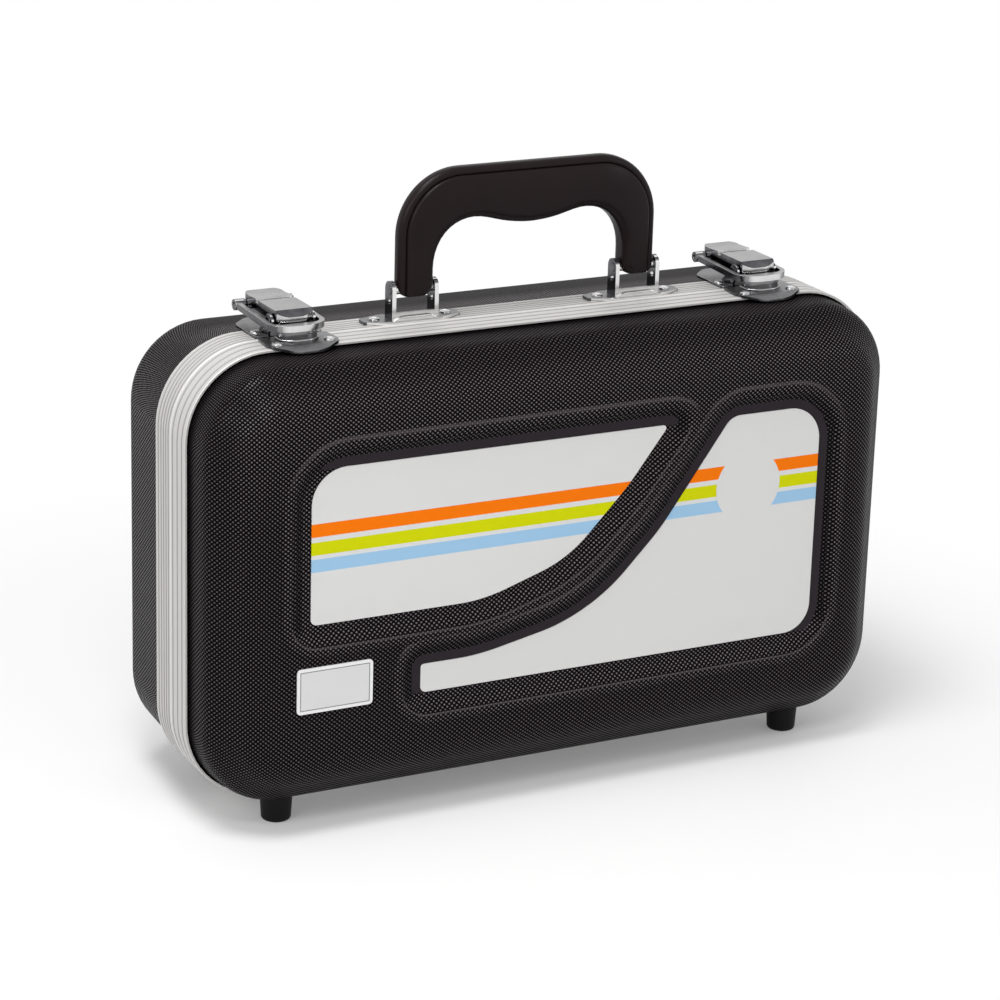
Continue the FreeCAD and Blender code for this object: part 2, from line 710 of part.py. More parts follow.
def loop(x):
    """Strap loop with rolled eyes, drawn over the keeper."""
    eye_y, eye_z = loop_pin()
    bar_y, bar_z = loop_bar()
    length = math.hypot(eye_y - bar_y, eye_z - bar_z)
    tilt = math.degrees(math.atan2(eye_z - bar_z, eye_y - bar_y))
    plan = loop_plan(0, -length - LOOP_STRAP / 2, 0)
    mouth = grown(loop_plan(0, -length - LOOP_STRAP / 2, LOOP_STRAP + OVER), -LOOP_STRAP)
    solid = extruded(plan, in_xy(-LOOP_TALL / 2), Vector(0, 0, LOOP_TALL))
    solid = solid.cut(extruded(mouth, in_xy(-LOOP_TALL), Vector(0, 0, 2 * LOOP_TALL)))
    solid.rotate(Vector(0, 0, 0), Vector(1, 0, 0), tilt)
    solid.translate(Vector(x, eye_y, eye_z))
    inner = LEVER_HALF_W + RUN_GAP
    outer = LOOP_HALF_W + EYE_OVER
    for low, high in ((x - outer, x - inner), (x + inner, x + outer)):
        solid = solid.fuse(rod(low, high, eye_y, eye_z, EYE_R))
    return solid.cut(rod(x - outer - OVER, x + outer + OVER, eye_y, eye_z, LATCH_PIN_R + RUN_FIT))


def keeper(x):
    """Bowed keeper plate that bends down in front, with a step and the hump under the loop."""
    rear_y = depth_y(FRONT, KEEPER_REAR)
    bend_y = depth_y(FRONT, VALANCE_DEPTH + KEEPER_BEND)
    front_y = depth_y(FRONT, VALANCE_DEPTH + KEEPER_OVERHANG)
    wide_y = (rear_y + front_y) / 2
    corners = [(x - KEEPER_REAR_HALF_W, rear_y, 0), (x + KEEPER_REAR_HALF_W, rear_y, 0),
               (x + KEEPER_HALF_W, wide_y, PLATE_CORNER_R),
               (x + KEEPER_FRONT_HALF_W, front_y + KEEPER_BOW, PLATE_CORNER_R),
               (x + KEEPER_NOSE_HALF_W, front_y, KEEPER_NOSE_R),
               (x - KEEPER_NOSE_HALF_W, front_y, KEEPER_NOSE_R),
               (x - KEEPER_FRONT_HALF_W, front_y + KEEPER_BOW, PLATE_CORNER_R),
               (x - KEEPER_HALF_W, wide_y, PLATE_CORNER_R)]
    section = [(rear_y, TOP_Z, 0), (rear_y, TOP_Z + KEEPER_T, 0), (bend_y, TOP_Z + KEEPER_T, 0),
               (front_y - OVER, TOP_Z + KEEPER_T - KEEPER_FALL, 0), (front_y - OVER, TOP_Z - KEEPER_FALL, 0),
               (bend_y, TOP_Z, 0)]
    half = KEEPER_HALF_W + OVER
    strip = extruded(section, in_yz(x - half), Vector(2 * half, 0, 0))
    rise = Vector(0, 0, 2 * KEEPER_T + KEEPER_FALL + 2 * OVER)
    solid = strip.common(extruded(corners, in_xy(TOP_Z - KEEPER_FALL - OVER), rise))
    bar_y = loop_bar()[0]
    nose = grown(loop_plan(x, bar_y - LOOP_STRAP / 2, bar_y + 4 * LOOP_BOW),
                 -LOOP_STRAP - RUN_GAP)
    hump_y = bar_y + LOOP_STRAP / 2 + RUN_GAP
    low_z = TOP_Z + KEEPER_T / 2
    half = LOOP_HALF_W
    hump = extruded(nose, in_xy(low_z), Vector(0, 0, HUMP_RISE + KEEPER_T / 2))
    hump = hump.common(box(x - half, x + half, hump_y - OVER, hump_y + HUMP_LENGTH, TOP_Z,
                           TOP_Z + KEEPER_T + HUMP_RISE))
    ledge = [(x - STEP_HALF_W, wide_y, 0), (x - STEP_HALF_W, hump_y, PLATE_CORNER_R),
             (x - STEP_HALF_W / 2, bar_y - STEP_AHEAD, KEEPER_NOSE_R / 2),
             (x + STEP_HALF_W / 2, bar_y - STEP_AHEAD, KEEPER_NOSE_R / 2),
             (x + STEP_HALF_W, hump_y, PLATE_CORNER_R), (x + STEP_HALF_W, wide_y, 0)]
    ledge = extruded(ledge, in_xy(low_z), Vector(0, 0, STEP_RISE + KEEPER_T / 2))
    return solid.fuse([ledge, hump]).removeSplitter()


def latch_rivets():
    """Rivets of both base plates, two beside each lever's ears."""
    y = depth_y(REAR, 3 * RIVET_R)
    reach = (LEVER_HALF_W + BASE_EAR_GAP + BASE_EAR_T + BASE_HALF_W) / 2
    return Part.makeCompound([rivet(x + side * reach, y, TOP_Z + BASE_T, 1)
                              for x in (-LATCH_X, LATCH_X) for side in (-1, 1)])


def keeper_rivets():
    """Rivets at both flares of each keeper."""
    y = depth_y(FRONT, VALANCE_DEPTH - RIVET_R)
    reach = KEEPER_FRONT_HALF_W - KEEPER_RIVET_IN
    return Part.makeCompound([rivet(x + side * reach, y, TOP_Z + KEEPER_T, 1)
                              for x in (-LATCH_X, LATCH_X) for side in (-1, 1)])


def handle_axis():
    """Y and Z of the handle's pins."""
    return depth_y(REAR, HANDLE_SETBACK), TOP_Z + PIVOT_RISE


def bracket_x():
    """Distance of each bracket's middle from the middle of the case."""
    return HANDLE_HALF_W - LEG_W / 2


def ear_offset():
    """Distance from a bracket's middle to the inside of each ear."""
    return LEG_W / 2 + EAR_SIDE_GAP


def handle():
    """Moulded handle with a swelling grip and two legs."""
    axis_y, axis_z = handle_axis()
    low_z = axis_z - LEG_BELOW_PIN
    top_z = axis_z + HANDLE_TOP
    inner_x = HANDLE_HALF_W - LEG_W
    swell_z = top_z - GRIP_DEPTH
    swell_x = GRIP_SWELL_SHARE * HANDLE_HALF_W
    knee_z = swell_z + (inner_x - swell_x) * math.tan(math.radians(GRIP_SLOPE_DEG))
    half = [(swell_x, swell_z, HANDLE_GRIP_R_SHARE * HANDLE_HALF_W),
            (inner_x, knee_z, HANDLE_INNER_R_SHARE * HANDLE_HALF_W),
            (inner_x, low_z, HANDLE_END_R), (HANDLE_HALF_W, low_z, HANDLE_END_R),
            (HANDLE_HALF_W, top_z, HANDLE_OUTER_R_SHARE * HANDLE_HALF_W)]
    corners = half + [(-x, z, radius) for x, z, radius in reversed(half)]
    edge = soft_bend((0, HANDLE_T), (0, 0), (HANDLE_T, 0), HANDLE_EDGE_R, BEND_CHORDS[1])
    stations = [(inset, lift) for lift, inset in edge]
    stations = sorted(stations, key=lambda station: station[1])
    stations += [(inset, HANDLE_T - lift) for inset, lift in reversed(stations)]
    wires = [rounded_wire(grown(corners, -inset), in_xz(axis_y - HANDLE_T / 2 + lift))
             for inset, lift in stations]
    solid = Part.makeLoft(wires, True, True)
    return solid.cut(rod(-HANDLE_HALF_W - OVER, HANDLE_HALF_W + OVER, axis_y, axis_z,
                         HANDLE_PIN_R + RUN_FIT))


def bracket(x):
    """Riveted plate with two upright ears and a low front lip."""
    axis_y, axis_z = handle_axis()
    y0 = depth_y(REAR, BRACKET_SET)
    middle_y = y0 + BRACKET_HALF_W
    end = BRACKET_HALF_W * BRACKET_END_SHARE
    flat = BRACKET_HALF_L * BRACKET_MIDDLE_SHARE
    full = BRACKET_HALF_W
    corners = [(x - BRACKET_HALF_L, middle_y - end, end / 2), (x - flat, middle_y - full, BRACKET_R),
               (x + flat, middle_y - full, BRACKET_R), (x + BRACKET_HALF_L, middle_y - end, end / 2),
               (x + BRACKET_HALF_L, middle_y + end, end / 2), (x + flat, middle_y + full, BRACKET_R),
               (x - flat, middle_y + full, BRACKET_R), (x - BRACKET_HALF_L, middle_y + end, end / 2)]
    solid = extruded(corners, in_xy(TOP_Z), Vector(0, 0, BRACKET_T))
    inner = ear_offset()
    for side in (-1, 1):
        near = x + side * inner
        start = min(near, near + side * EAR_T)
        upright = box(start, start + EAR_T, axis_y - EAR_DEPTH / 2, axis_y + EAR_DEPTH / 2,
                      TOP_Z + BRACKET_T / 2, axis_z)
        crown = rod(start, start + EAR_T, axis_y, axis_z, EAR_DEPTH / 2)
        solid = solid.fuse([upright, crown])
    front_y = axis_y - EAR_DEPTH / 2
    lip = box(x - inner, x + inner, front_y, front_y + BRACKET_T, TOP_Z + BRACKET_T / 2,
              TOP_Z + BRACKET_T + BRACKET_LIP)
    solid = solid.fuse(lip)
    reach = inner + EAR_T + OVER
    solid = solid.cut(rod(x - reach, x + reach, axis_y, axis_z, HANDLE_PIN_R + RUN_FIT))
    return solid.cut(rod(x - reach, x + reach, axis_y, axis_z - EAR_HOLE_DROP, EAR_HOLE_R))


def handle_pins():
    """Pins through the ears and the legs of the handle."""
    axis_y, axis_z = handle_axis()
    half = ear_offset() + EAR_T + RUN_GAP
    return Part.makeCompound([rod(x - half, x + half, axis_y, axis_z, HANDLE_PIN_R)
                              for x in (-bracket_x(), bracket_x())])


def bracket_rivets():
    """Two rivets on each bracket, outside its ears."""
    y = depth_y(REAR, BRACKET_SET) + BRACKET_HALF_W
    reach = (ear_offset() + EAR_T + BRACKET_HALF_L) / 2
    return Part.makeCompound([rivet(x + side * reach, y, TOP_Z + BRACKET_T, 1)
                              for x in (-bracket_x(), bracket_x()) for side in (-1, 1)])


def build():
    """Every sub-part of the case, by file name."""
    left_panel, right_panel = panel_outlines()
    return {
        "rear_shell": shell(REAR, BODY_DEPTH),
        "rear_valance": rear_valance(),
        "tray": tray(),
        "rear_feet": feet(REAR, REAR_FOOT_SETBACK, BODY_DEPTH),
        "hinge_body_leaves": hinge_leaves(REAR, 0),
        "hinge_pins": hinge_pins(),
        "hinge_body_rivets": hinge_rivets(REAR),
        "latch_base_left": latch_base(-LATCH_X),
        "latch_base_right": latch_base(LATCH_X),
        "latch_base_rivets": latch_rivets(),
        "fulcrum_pin_left": fulcrum_pin(-LATCH_X),
        "fulcrum_pin_right": fulcrum_pin(LATCH_X),
        "handle_bracket_left": bracket(-bracket_x()),
        "handle_bracket_right": bracket(bracket_x()),
        "handle_bracket_rivets": bracket_rivets(),
        "handle_pins": handle_pins(),
        "front_shell": front_shell(),
        "front_valance": front_valance(),
        "lid_pad": lid_pad(),
        "panel_left": panel_sheet(left_panel),
        "panel_right": panel_sheet(right_panel),
        "nameplate": nameplate(),
        "front_feet": feet(FRONT, FRONT_FOOT_SETBACK, LID_DEPTH),
        "hinge_lid_leaves": hinge_leaves(FRONT, 1),
        "hinge_lid_rivets": hinge_rivets(FRONT),
        "keeper_left": keeper(-LATCH_X),
        "keeper_right": keeper(LATCH_X),
        "keeper_rivets": keeper_rivets(),
        "lever_left": lever(-LATCH_X),
        "lever_right": lever(LATCH_X),
        "loop_pin_left": loop_pin_solid(-LATCH_X),
        "loop_pin_right": loop_pin_solid(LATCH_X),
        "loop_left": loop(-LATCH_X),
        "loop_right": loop(LATCH_X),
        "handle": handle(),
    }


def main():
    """Write one STEP file for each sub-part."""
    os.makedirs("parts", exist_ok=True)
    for name, shape in build().items():
        shape.exportStep(os.path.join("parts", name + ".step"))
        print(name, "solids", len(shape.Solids), "valid", shape.isValid(),
              "volume", round(shape.Volume, 1))


if __name__ == "__main__":
    main()
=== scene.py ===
"""Looks of the clarinet case: black shells in satin valances, striped panels, chrome latches.

Sizes in the classes are millimetres in the row frame: X along the case, Y from front to back, Z up.
"""

import cmath
import logging
import math
from collections.abc import Callable, Sequence
from dataclasses import dataclass
from enum import Enum

import bmesh
import bpy
from mathutils import Matrix, Vector


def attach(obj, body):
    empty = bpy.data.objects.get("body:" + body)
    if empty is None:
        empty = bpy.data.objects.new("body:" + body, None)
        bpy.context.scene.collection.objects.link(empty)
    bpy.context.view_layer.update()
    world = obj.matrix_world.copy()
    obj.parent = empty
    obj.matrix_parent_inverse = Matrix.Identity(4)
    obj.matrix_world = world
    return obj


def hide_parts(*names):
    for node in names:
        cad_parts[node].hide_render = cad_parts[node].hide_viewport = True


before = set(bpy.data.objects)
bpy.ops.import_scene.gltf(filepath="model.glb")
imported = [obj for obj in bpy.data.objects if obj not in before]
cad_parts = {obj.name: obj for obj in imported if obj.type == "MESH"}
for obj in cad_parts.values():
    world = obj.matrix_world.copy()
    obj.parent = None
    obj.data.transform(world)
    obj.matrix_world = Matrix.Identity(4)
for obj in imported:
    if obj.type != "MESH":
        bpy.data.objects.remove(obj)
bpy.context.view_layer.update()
LOG = logging.getLogger("clarinet_case")
MM = 0.001
SAME_PLACE = 0.01
LEAST_TURN = 1e-4

Corner = tuple[float, float, float]
Pair = tuple[float, float]
Colour = tuple[float, float, float]
Test = Callable[[Vector], bool]


class Side(Enum):
    """Halves of the case, by the way they face along Y."""

    FRONT = -1
    REAR = 1


class Plane(Enum):
    """Planes that outlines are drawn in, by the axis they face."""

    YZ = 0
    XZ = 1
    XY = 2

    def point(self, u: float, v: float, level: float) -> Vector:
        """Place of a drawn point, in metres.

        Args:
            u: First coordinate in the plane, in millimetres.
            v: Second coordinate in the plane, in millimetres.
            level: Height of the plane along its axis, in millimetres.

        Returns:
            The point in the row frame.
        """
        spots = {Plane.YZ: (level, u, v), Plane.XZ: (u, level, v), Plane.XY: (u, v, level)}
        return Vector(spots[self]) * MM

    def along(self, distance: float) -> Vector:
        """Step along the plane's axis, in metres, from a distance in millimetres."""
        step = Vector((0.0, 0.0, 0.0))
        step[self.value] = distance * MM
        return step


class Cut(Enum):
    """Ways in which one solid acts on another."""

    AWAY = "DIFFERENCE"
    ONTO = "UNION"
    SHARED = "INTERSECT"


def heading(start: Sequence[float], end: Sequence[float]) -> complex:
    """Unit direction from one drawn point to another."""
    way = complex(end[0] - start[0], end[1] - start[1])
    return way / abs(way)


def half_angle(before: Sequence[float], corner: Sequence[float], after: Sequence[float]) -> float:
    """Half of the angle between the runs that meet at a corner, in radians."""
    return abs(cmath.phase(heading(corner, after) / heading(corner, before))) / 2


def grown(corners: Sequence[Corner], distance: float) -> list[Corner]:
    """Corners of the parallel outline outside another.

    Args:
        corners: Corner points with their radii.
        distance: How far outside, in millimetres; negative goes inside.

    Returns:
        The parallel outline's corners.
    """
    behind, ahead = [*corners[-1:], *corners[:-1]], [*corners[1:], *corners[:1]]
    area = sum(a[0] * b[1] - b[0] * a[1] for a, b in zip(behind, corners))
    outwards = -1j if area > 0 else 1j
    result = []
    for before, corner, after in zip(behind, corners, ahead):
        coming, going = heading(before, corner) * outwards, heading(corner, after) * outwards
        turn = coming.conjugate() * going
        step = (coming + going) * (distance / (1 + turn.real))
        convex = (turn * outwards).real > 0
        radius = max(corner[2] + (distance if convex else -distance), 0.0)
        result.append((corner[0] + step.real, corner[1] + step.imag, radius))
    return result


def rounded_box(u0: float, u1: float, v0: float, v1: float, radius: float) -> list[Corner]:
    """Corners of a rounded rectangle between two corners."""
    return [(u0, v0, radius), (u1, v0, radius), (u1, v1, radius), (u0, v1, radius)]


def bend(before: Pair, corner: Pair, after: Pair, radius: float, chords: int) -> list[Pair]:
    """Points of the arc that rounds one corner of a section.

    Args:
        before: Point before the corner.
        corner: The corner.
        after: Point after the corner.
        radius: Radius of the arc.
        chords: Number of chords.

    Returns:
        The points along the arc.
    """
    back, ahead = heading(corner, before), heading(corner, after)
    half = half_angle(before, corner, after)
    middle = (back + ahead) / abs(back + ahead)
    centre = complex(*corner) + middle * radius / math.sin(half)
    start = complex(*corner) + back * radius / math.tan(half) - centre
    turning = 1 if (back.conjugate() * ahead).imag < 0 else -1
    angles = [turning * (math.pi - 2 * half) * index / chords for index in range(chords + 1)]
    points = [centre + start * cmath.rect(1.0, angle) for angle in angles]
    return [(point.real, point.imag) for point in points]


class Workpiece:
    """One mesh on the bench, shaped with the edit mode operators."""

    def __init__(self, name: str, corners: Sequence[Corner], plane: Plane, level: float,
                 facing: int = 1, filled: bool = True, arc: int = 8) -> None:
        """Draws a rounded outline.

        Args:
            name: Name of the piece.
            corners: Corner points with their radii, in millimetres.
            plane: Plane of the outline.
            level: Height of the plane, in millimetres.
            facing: 1 or -1, the way along the plane's axis that the face looks.
            filled: Whether the outline holds a face.
            arc: Chords of each rounded corner.
        """
        self.plane, self.level, self.facing = plane, level, facing
        bpy.ops.object.select_all(action="DESELECT")
        bpy.ops.mesh.primitive_circle_add(vertices=len(corners), radius=MM,
                                          fill_type="NGON" if filled else "NOTHING")
        self.shape = bpy.context.object
        self.shape.name = self.shape.data.name = name
        bpy.ops.object.mode_set(mode="EDIT")
        for index, corner in enumerate(corners):
            self._pick_vertex(index)
            place = plane.point(corner[0], corner[1], level)
            bpy.ops.transform.translate(value=place - self._mesh().verts[index].co)
        self._round(corners, arc)
        bpy.ops.mesh.select_all(action="SELECT")
        if filled:
            face = self._mesh().faces[0]
            face.normal_update()
            if face.normal[plane.value] * facing < 0:
                bpy.ops.mesh.flip_normals()

    def _mesh(self) -> bmesh.types.BMesh:
        """Edit mesh with its tables ready."""
        mesh = bmesh.from_edit_mesh(self.shape.data)
        for table in (mesh.verts, mesh.edges, mesh.faces):
            table.ensure_lookup_table()
        return mesh

    def _pick_vertex(self, index: int) -> None:
        """Selects one vertex alone."""
        bpy.ops.mesh.select_mode(type="VERT")
        bpy.ops.mesh.select_all(action="DESELECT")
        self._mesh().verts[index].select_set(True)
        bmesh.update_edit_mesh(self.shape.data)

    def _round(self, corners: Sequence[Corner], arc: int) -> None:
        """Rounds the outline's corners by their radii, with a number of chords each."""
        for index, (u, v, radius) in enumerate(corners):
            before, after = corners[index - 1], corners[(index + 1) % len(corners)]
            half = half_angle(before, (u, v), after)
            if radius <= 0 or half > math.pi / 2 - LEAST_TURN:
                continue
            spot = self.plane.point(u, v, self.level)
            nearest = min(self._mesh().verts, key=lambda vertex: (vertex.co - spot).length)
            self._pick_vertex(nearest.index)
            bpy.ops.mesh.bevel(offset=radius / math.tan(half) * MM, offset_type="OFFSET",
                               segments=arc, profile=0.5, affect="VERTICES", clamp_overlap=False)

    def push(self, distance: float) -> "Workpiece":
        """Extrudes what is selected along the way that the outline looks, in millimetres."""
        step = self.plane.along(distance * self.facing)
        bpy.ops.mesh.extrude_region_move(TRANSFORM_OT_translate={"value": step})
        return self

    def pull(self, x: float, y: float, z: float) -> "Workpiece":
        """Extrudes what is selected by a step in millimetres."""
        bpy.ops.mesh.extrude_region_move(TRANSFORM_OT_translate={"value": Vector((x, y, z)) * MM})
        return self

    def step(self, inset: float, rise: float) -> "Workpiece":
        """Draws the selected face in and moves it along its normal, in millimetres."""
        bpy.ops.mesh.inset(thickness=inset * MM, depth=rise * MM, use_even_offset=True)
        return self

    def follow(self, stations: Sequence[Pair]) -> "Workpiece":
        """Takes the selected face through stations.

        Args:
            stations: Pairs of depth and inset, counted as running totals from the first.

        Returns:
            The piece.
        """
        for (depth_a, inset_a), (depth_b, inset_b) in zip(stations, stations[1:]):
            if abs(inset_b - inset_a) < SAME_PLACE * LEAST_TURN:
                self.push(depth_b - depth_a)
            else:
                self.step(inset_b - inset_a, depth_b - depth_a)
        return self

    def turn(self, angle: float, centre: Vector, steps: int) -> "Workpiece":
        """Spins what is selected round an axis along Y.

        Args:
            angle: Turn in degrees, as the spin operator counts it.
            centre: Point on the axis, in millimetres.
            steps: Number of steps.

        Returns:
            The piece.
        """
        bpy.ops.mesh.spin(steps=steps, angle=math.radians(angle), center=centre * MM,
                          axis=(0.0, 1.0, 0.0))
        return self

    def lathe(self, steps: int) -> "Workpiece":
        """Spins the whole outline once round the Z axis."""
        bpy.ops.mesh.select_all(action="SELECT")
        bpy.ops.mesh.spin(steps=steps, angle=2 * math.pi, center=(0.0, 0.0, 0.0),
                          axis=(0.0, 0.0, 1.0))
        return self.cleaned()

    def edges(self, test: Test, sharp: float) -> "Workpiece":
        """Selects edges whose two ends pass a test.

        Args:
            test: Test of an end's place, in millimetres.
            sharp: Least angle between the faces of an edge, in degrees.

        Returns:
            The piece.
        """
        bpy.ops.mesh.select_mode(type="EDGE")
        bpy.ops.mesh.select_all(action="DESELECT")
        for edge in self._mesh().edges:
            bent = len(edge.link_faces) == 2 and math.degrees(edge.calc_face_angle(0.0)) >= sharp
            if bent and all(test(vertex.co / MM) for vertex in edge.verts):
                edge.select_set(True)
        bmesh.update_edit_mesh(self.shape.data)
        return self

    def soften(self, width: float, chords: int) -> "Workpiece":
        """Bevels the selected edges by a width in millimetres."""
        bpy.ops.mesh.bevel(offset=width * MM, offset_type="OFFSET", segments=chords, profile=0.5,
                           affect="EDGES", clamp_overlap=True)
        return self

    def cleaned(self) -> "Workpiece":
        """Merges doubles and turns the faces outwards."""
        bpy.ops.mesh.select_mode(type="VERT")
        bpy.ops.mesh.select_all(action="SELECT")
        bpy.ops.mesh.remove_doubles(threshold=SAME_PLACE * MM)
        bpy.ops.mesh.normals_make_consistent(inside=False)
        return self

    def off_bench(self) -> bpy.types.Object:
        """Leaves edit mode and gives the object."""
        bpy.ops.object.mode_set(mode="OBJECT")
        return self.shape


def prism(name: str, corners: Sequence[Corner], plane: Plane, start: float, end: float,
          arc: int = 8) -> bpy.types.Object:
    """Block over a rounded outline.

    Args:
        name: Name of the piece.
        corners: Corner points with their radii, in millimetres.
        plane: Plane of the outline.
        start: Level of the lower face.
        end: Level of the upper face.
        arc: Chords of each rounded corner.

    Returns:
        The block.
    """
    piece = Workpiece(name, corners, plane, start, arc=arc)
    return piece.push(end - start).cleaned().off_bench()


def rod(name: str, x0: float, x1: float, centre: Pair, radius: float,
        sides: int = 16) -> bpy.types.Object:
    """Round bar along X, from a many-sided outline.

    Args:
        name: Name of the piece.
        x0: Start along X.
        x1: End along X.
        centre: Y and Z of the axis.
        radius: Radius of the bar.
        sides: Number of sides.

    Returns:
        The bar.
    """
    ring = [(centre[0] + radius * math.cos(turn), centre[1] + radius * math.sin(turn), 0.0)
            for turn in (2 * math.pi * side / sides for side in range(sides))]
    return prism(name, ring, Plane.YZ, x0, x1)


def alone(shape: bpy.types.Object) -> None:
    """Selects one object alone and makes it the active one."""
    bpy.ops.object.select_all(action="DESELECT")
    bpy.context.view_layer.objects.active = shape
    shape.select_set(True)


def finished(shape: bpy.types.Object, kind: str, **settings: object) -> bpy.types.Object:
    """Puts a modifier on a shape and applies it.

    Args:
        shape: The shape.
        kind: The modifier's type.
        settings: Properties of the modifier.

    Returns:
        The shape.
    """
    alone(shape)
    modifier = shape.modifiers.new("finish", kind)
    for key, value in settings.items():
        setattr(modifier, key, value)
    bpy.ops.object.modifier_apply(modifier=modifier.name)
    return shape


def work(target: bpy.types.Object, tool: bpy.types.Object, cut: Cut) -> bpy.types.Object:
    """Cuts one solid with another, or adds it, and removes the second.

    Args:
        target: The solid that stays.
        tool: The solid that acts on it.
        cut: What it does.

    Returns:
        The worked solid.
    """
    finished(target, "BOOLEAN", operation=cut.value, solver="EXACT", object=tool)
    bpy.data.objects.remove(tool, do_unlink=True)
    return target


def edge_round(shape: bpy.types.Object, width: float, angle: float,
               chords: int) -> bpy.types.Object:
    """Rounds every sharp edge of a finished shape.

    Args:
        shape: The shape.
        width: Width of the rounding, in millimetres.
        angle: Least angle of an edge that is rounded, in degrees.
        chords: Chords of the rounding.

    Returns:
        The shape.
    """
    return finished(shape, "BEVEL", width=width * MM, segments=chords, limit_method="ANGLE",
                    angle_limit=math.radians(angle))


def bored(shape: bpy.types.Object, middle: float, half: float, centre: Pair, radius: float,
          sides: int = 16) -> bpy.types.Object:
    """Bores a round hole along X.

    Args:
        shape: The shape.
        middle: Middle of the hole along X.
        half: Half of the drill's length.
        centre: Y and Z of the hole's axis.
        radius: Radius of the hole.
        sides: Number of sides.

    Returns:
        The shape.
    """
    drill = rod("hole", middle - half, middle + half, centre, radius, sides)
    return work(shape, drill, Cut.AWAY)


def eared(shape: bpy.types.Object, outline: Sequence[Corner], middle: float, inner: float,
          thick: float, arc: int) -> None:
    """Adds two equal upright ears, one on each side of a middle.

    Args:
        shape: The plate that carries them.
        outline: Side view of an ear.
        middle: X halfway between them.
        inner: Distance from the middle to their inner faces.
        thick: Thickness of an ear.
        arc: Chords of each rounded corner.
    """
    for start in (middle - inner - thick, middle + inner):
        work(shape, prism("ear", outline, Plane.YZ, start, start + thick, arc), Cut.ONTO)


def joined(name: str, parts: Sequence[bpy.types.Object]) -> bpy.types.Object:
    """Joins meshes that belong to one piece.

    Args:
        name: Name of the joined piece.
        parts: The meshes.

    Returns:
        The joined object.
    """
    alone(parts[0])
    for part in parts[1:]:
        part.select_set(True)
    bpy.ops.object.join()
    parts[0].name = parts[0].data.name = name
    return parts[0]


def copied(source: bpy.types.Object, place: Corner, flip: bool) -> bpy.types.Object:
    """Copy with a mesh of its own, moved in millimetres.

    Args:
        source: The piece that is copied.
        place: Step along X, Y and Z.
        flip: Whether the copy is turned upside down about Z 0 first.

    Returns:
        The copy.
    """
    alone(source)
    bpy.ops.object.duplicate(linked=False)
    copy = bpy.context.object
    if flip:
        bpy.ops.transform.resize(value=(1.0, 1.0, -1.0), center_override=(0.0, 0.0, 0.0))
        bpy.ops.object.transform_apply(location=True, rotation=True, scale=True)
        bpy.ops.object.mode_set(mode="EDIT")
        bpy.ops.mesh.select_all(action="SELECT")
        bpy.ops.mesh.normals_make_consistent(inside=False)
        bpy.ops.object.mode_set(mode="OBJECT")
    bpy.ops.transform.translate(value=Vector(place) * MM)
    bpy.ops.object.transform_apply(location=True, rotation=True, scale=True)
    return copy


class Value:
    """A number in a node tree; arithmetic on it adds Math nodes."""

    def __init__(self, graph: "Graph", socket: bpy.types.NodeSocket) -> None:
        """Keeps the graph and the socket that gives the number."""
        self.graph, self.socket = graph, socket

    def maths(self, operation: str, *others: "Value | float") -> "Value":
        """Adds one Math node that works on this number and the others."""
        inputs = {0: self, **{index + 1: other for index, other in enumerate(others)}}
        return self.graph.number("ShaderNodeMath", {"operation": operation}, inputs)

    def __add__(self, other: "Value | float") -> "Value":
        """Sum."""
        return self.maths("ADD", other)

    __radd__ = __add__

    def __sub__(self, other: "Value | float") -> "Value":
        """Difference."""
        return self.maths("SUBTRACT", other)

    def __rsub__(self, other: float) -> "Value":
        """Difference from a plain number."""
        return (self * -1.0) + other

    def __mul__(self, other: "Value | float") -> "Value":
        """Product."""
        return self.maths("MULTIPLY", other)

    __rmul__ = __mul__

    def __truediv__(self, other: "Value | float") -> "Value":
        """Quotient."""
        return self.maths("DIVIDE", other)

    def __pow__(self, other: "Value | float") -> "Value":
        """Power."""
        return self.maths("POWER", other)

    def __abs__(self) -> "Value":
        """Size without its sign."""
        return self.maths("ABSOLUTE")

    def sine(self) -> "Value":
        """Sine of the number in radians."""
        return self.maths("SINE")

    def sign(self) -> "Value":
        """Sign of the number."""
        return self.maths("SIGN")

    def least(self, other: "Value | float") -> "Value":
        """Smaller of two numbers."""
        return self.maths("MINIMUM", other)

    def most(self, other: "Value | float") -> "Value":
        """Larger of two numbers."""
        return self.maths("MAXIMUM", other)

    def ramp(self, low: float, high: float) -> "Value":
        """Smooth rise from 0 at the low number to 1 at the high one."""
        settings = {"interpolation_type": "SMOOTHSTEP"}
        inputs = {"Value": self, "From Min": low, "From Max": high}
        return self.graph.number("ShaderNodeMapRange", settings, inputs)

    def within(self, low: float, high: float, blur: float) -> "Value":
        """1 between two numbers and 0 outside them, with blurred ends."""
        return self.ramp(low - blur, low + blur) * (1.0 - self.ramp(high - blur, high + blur))


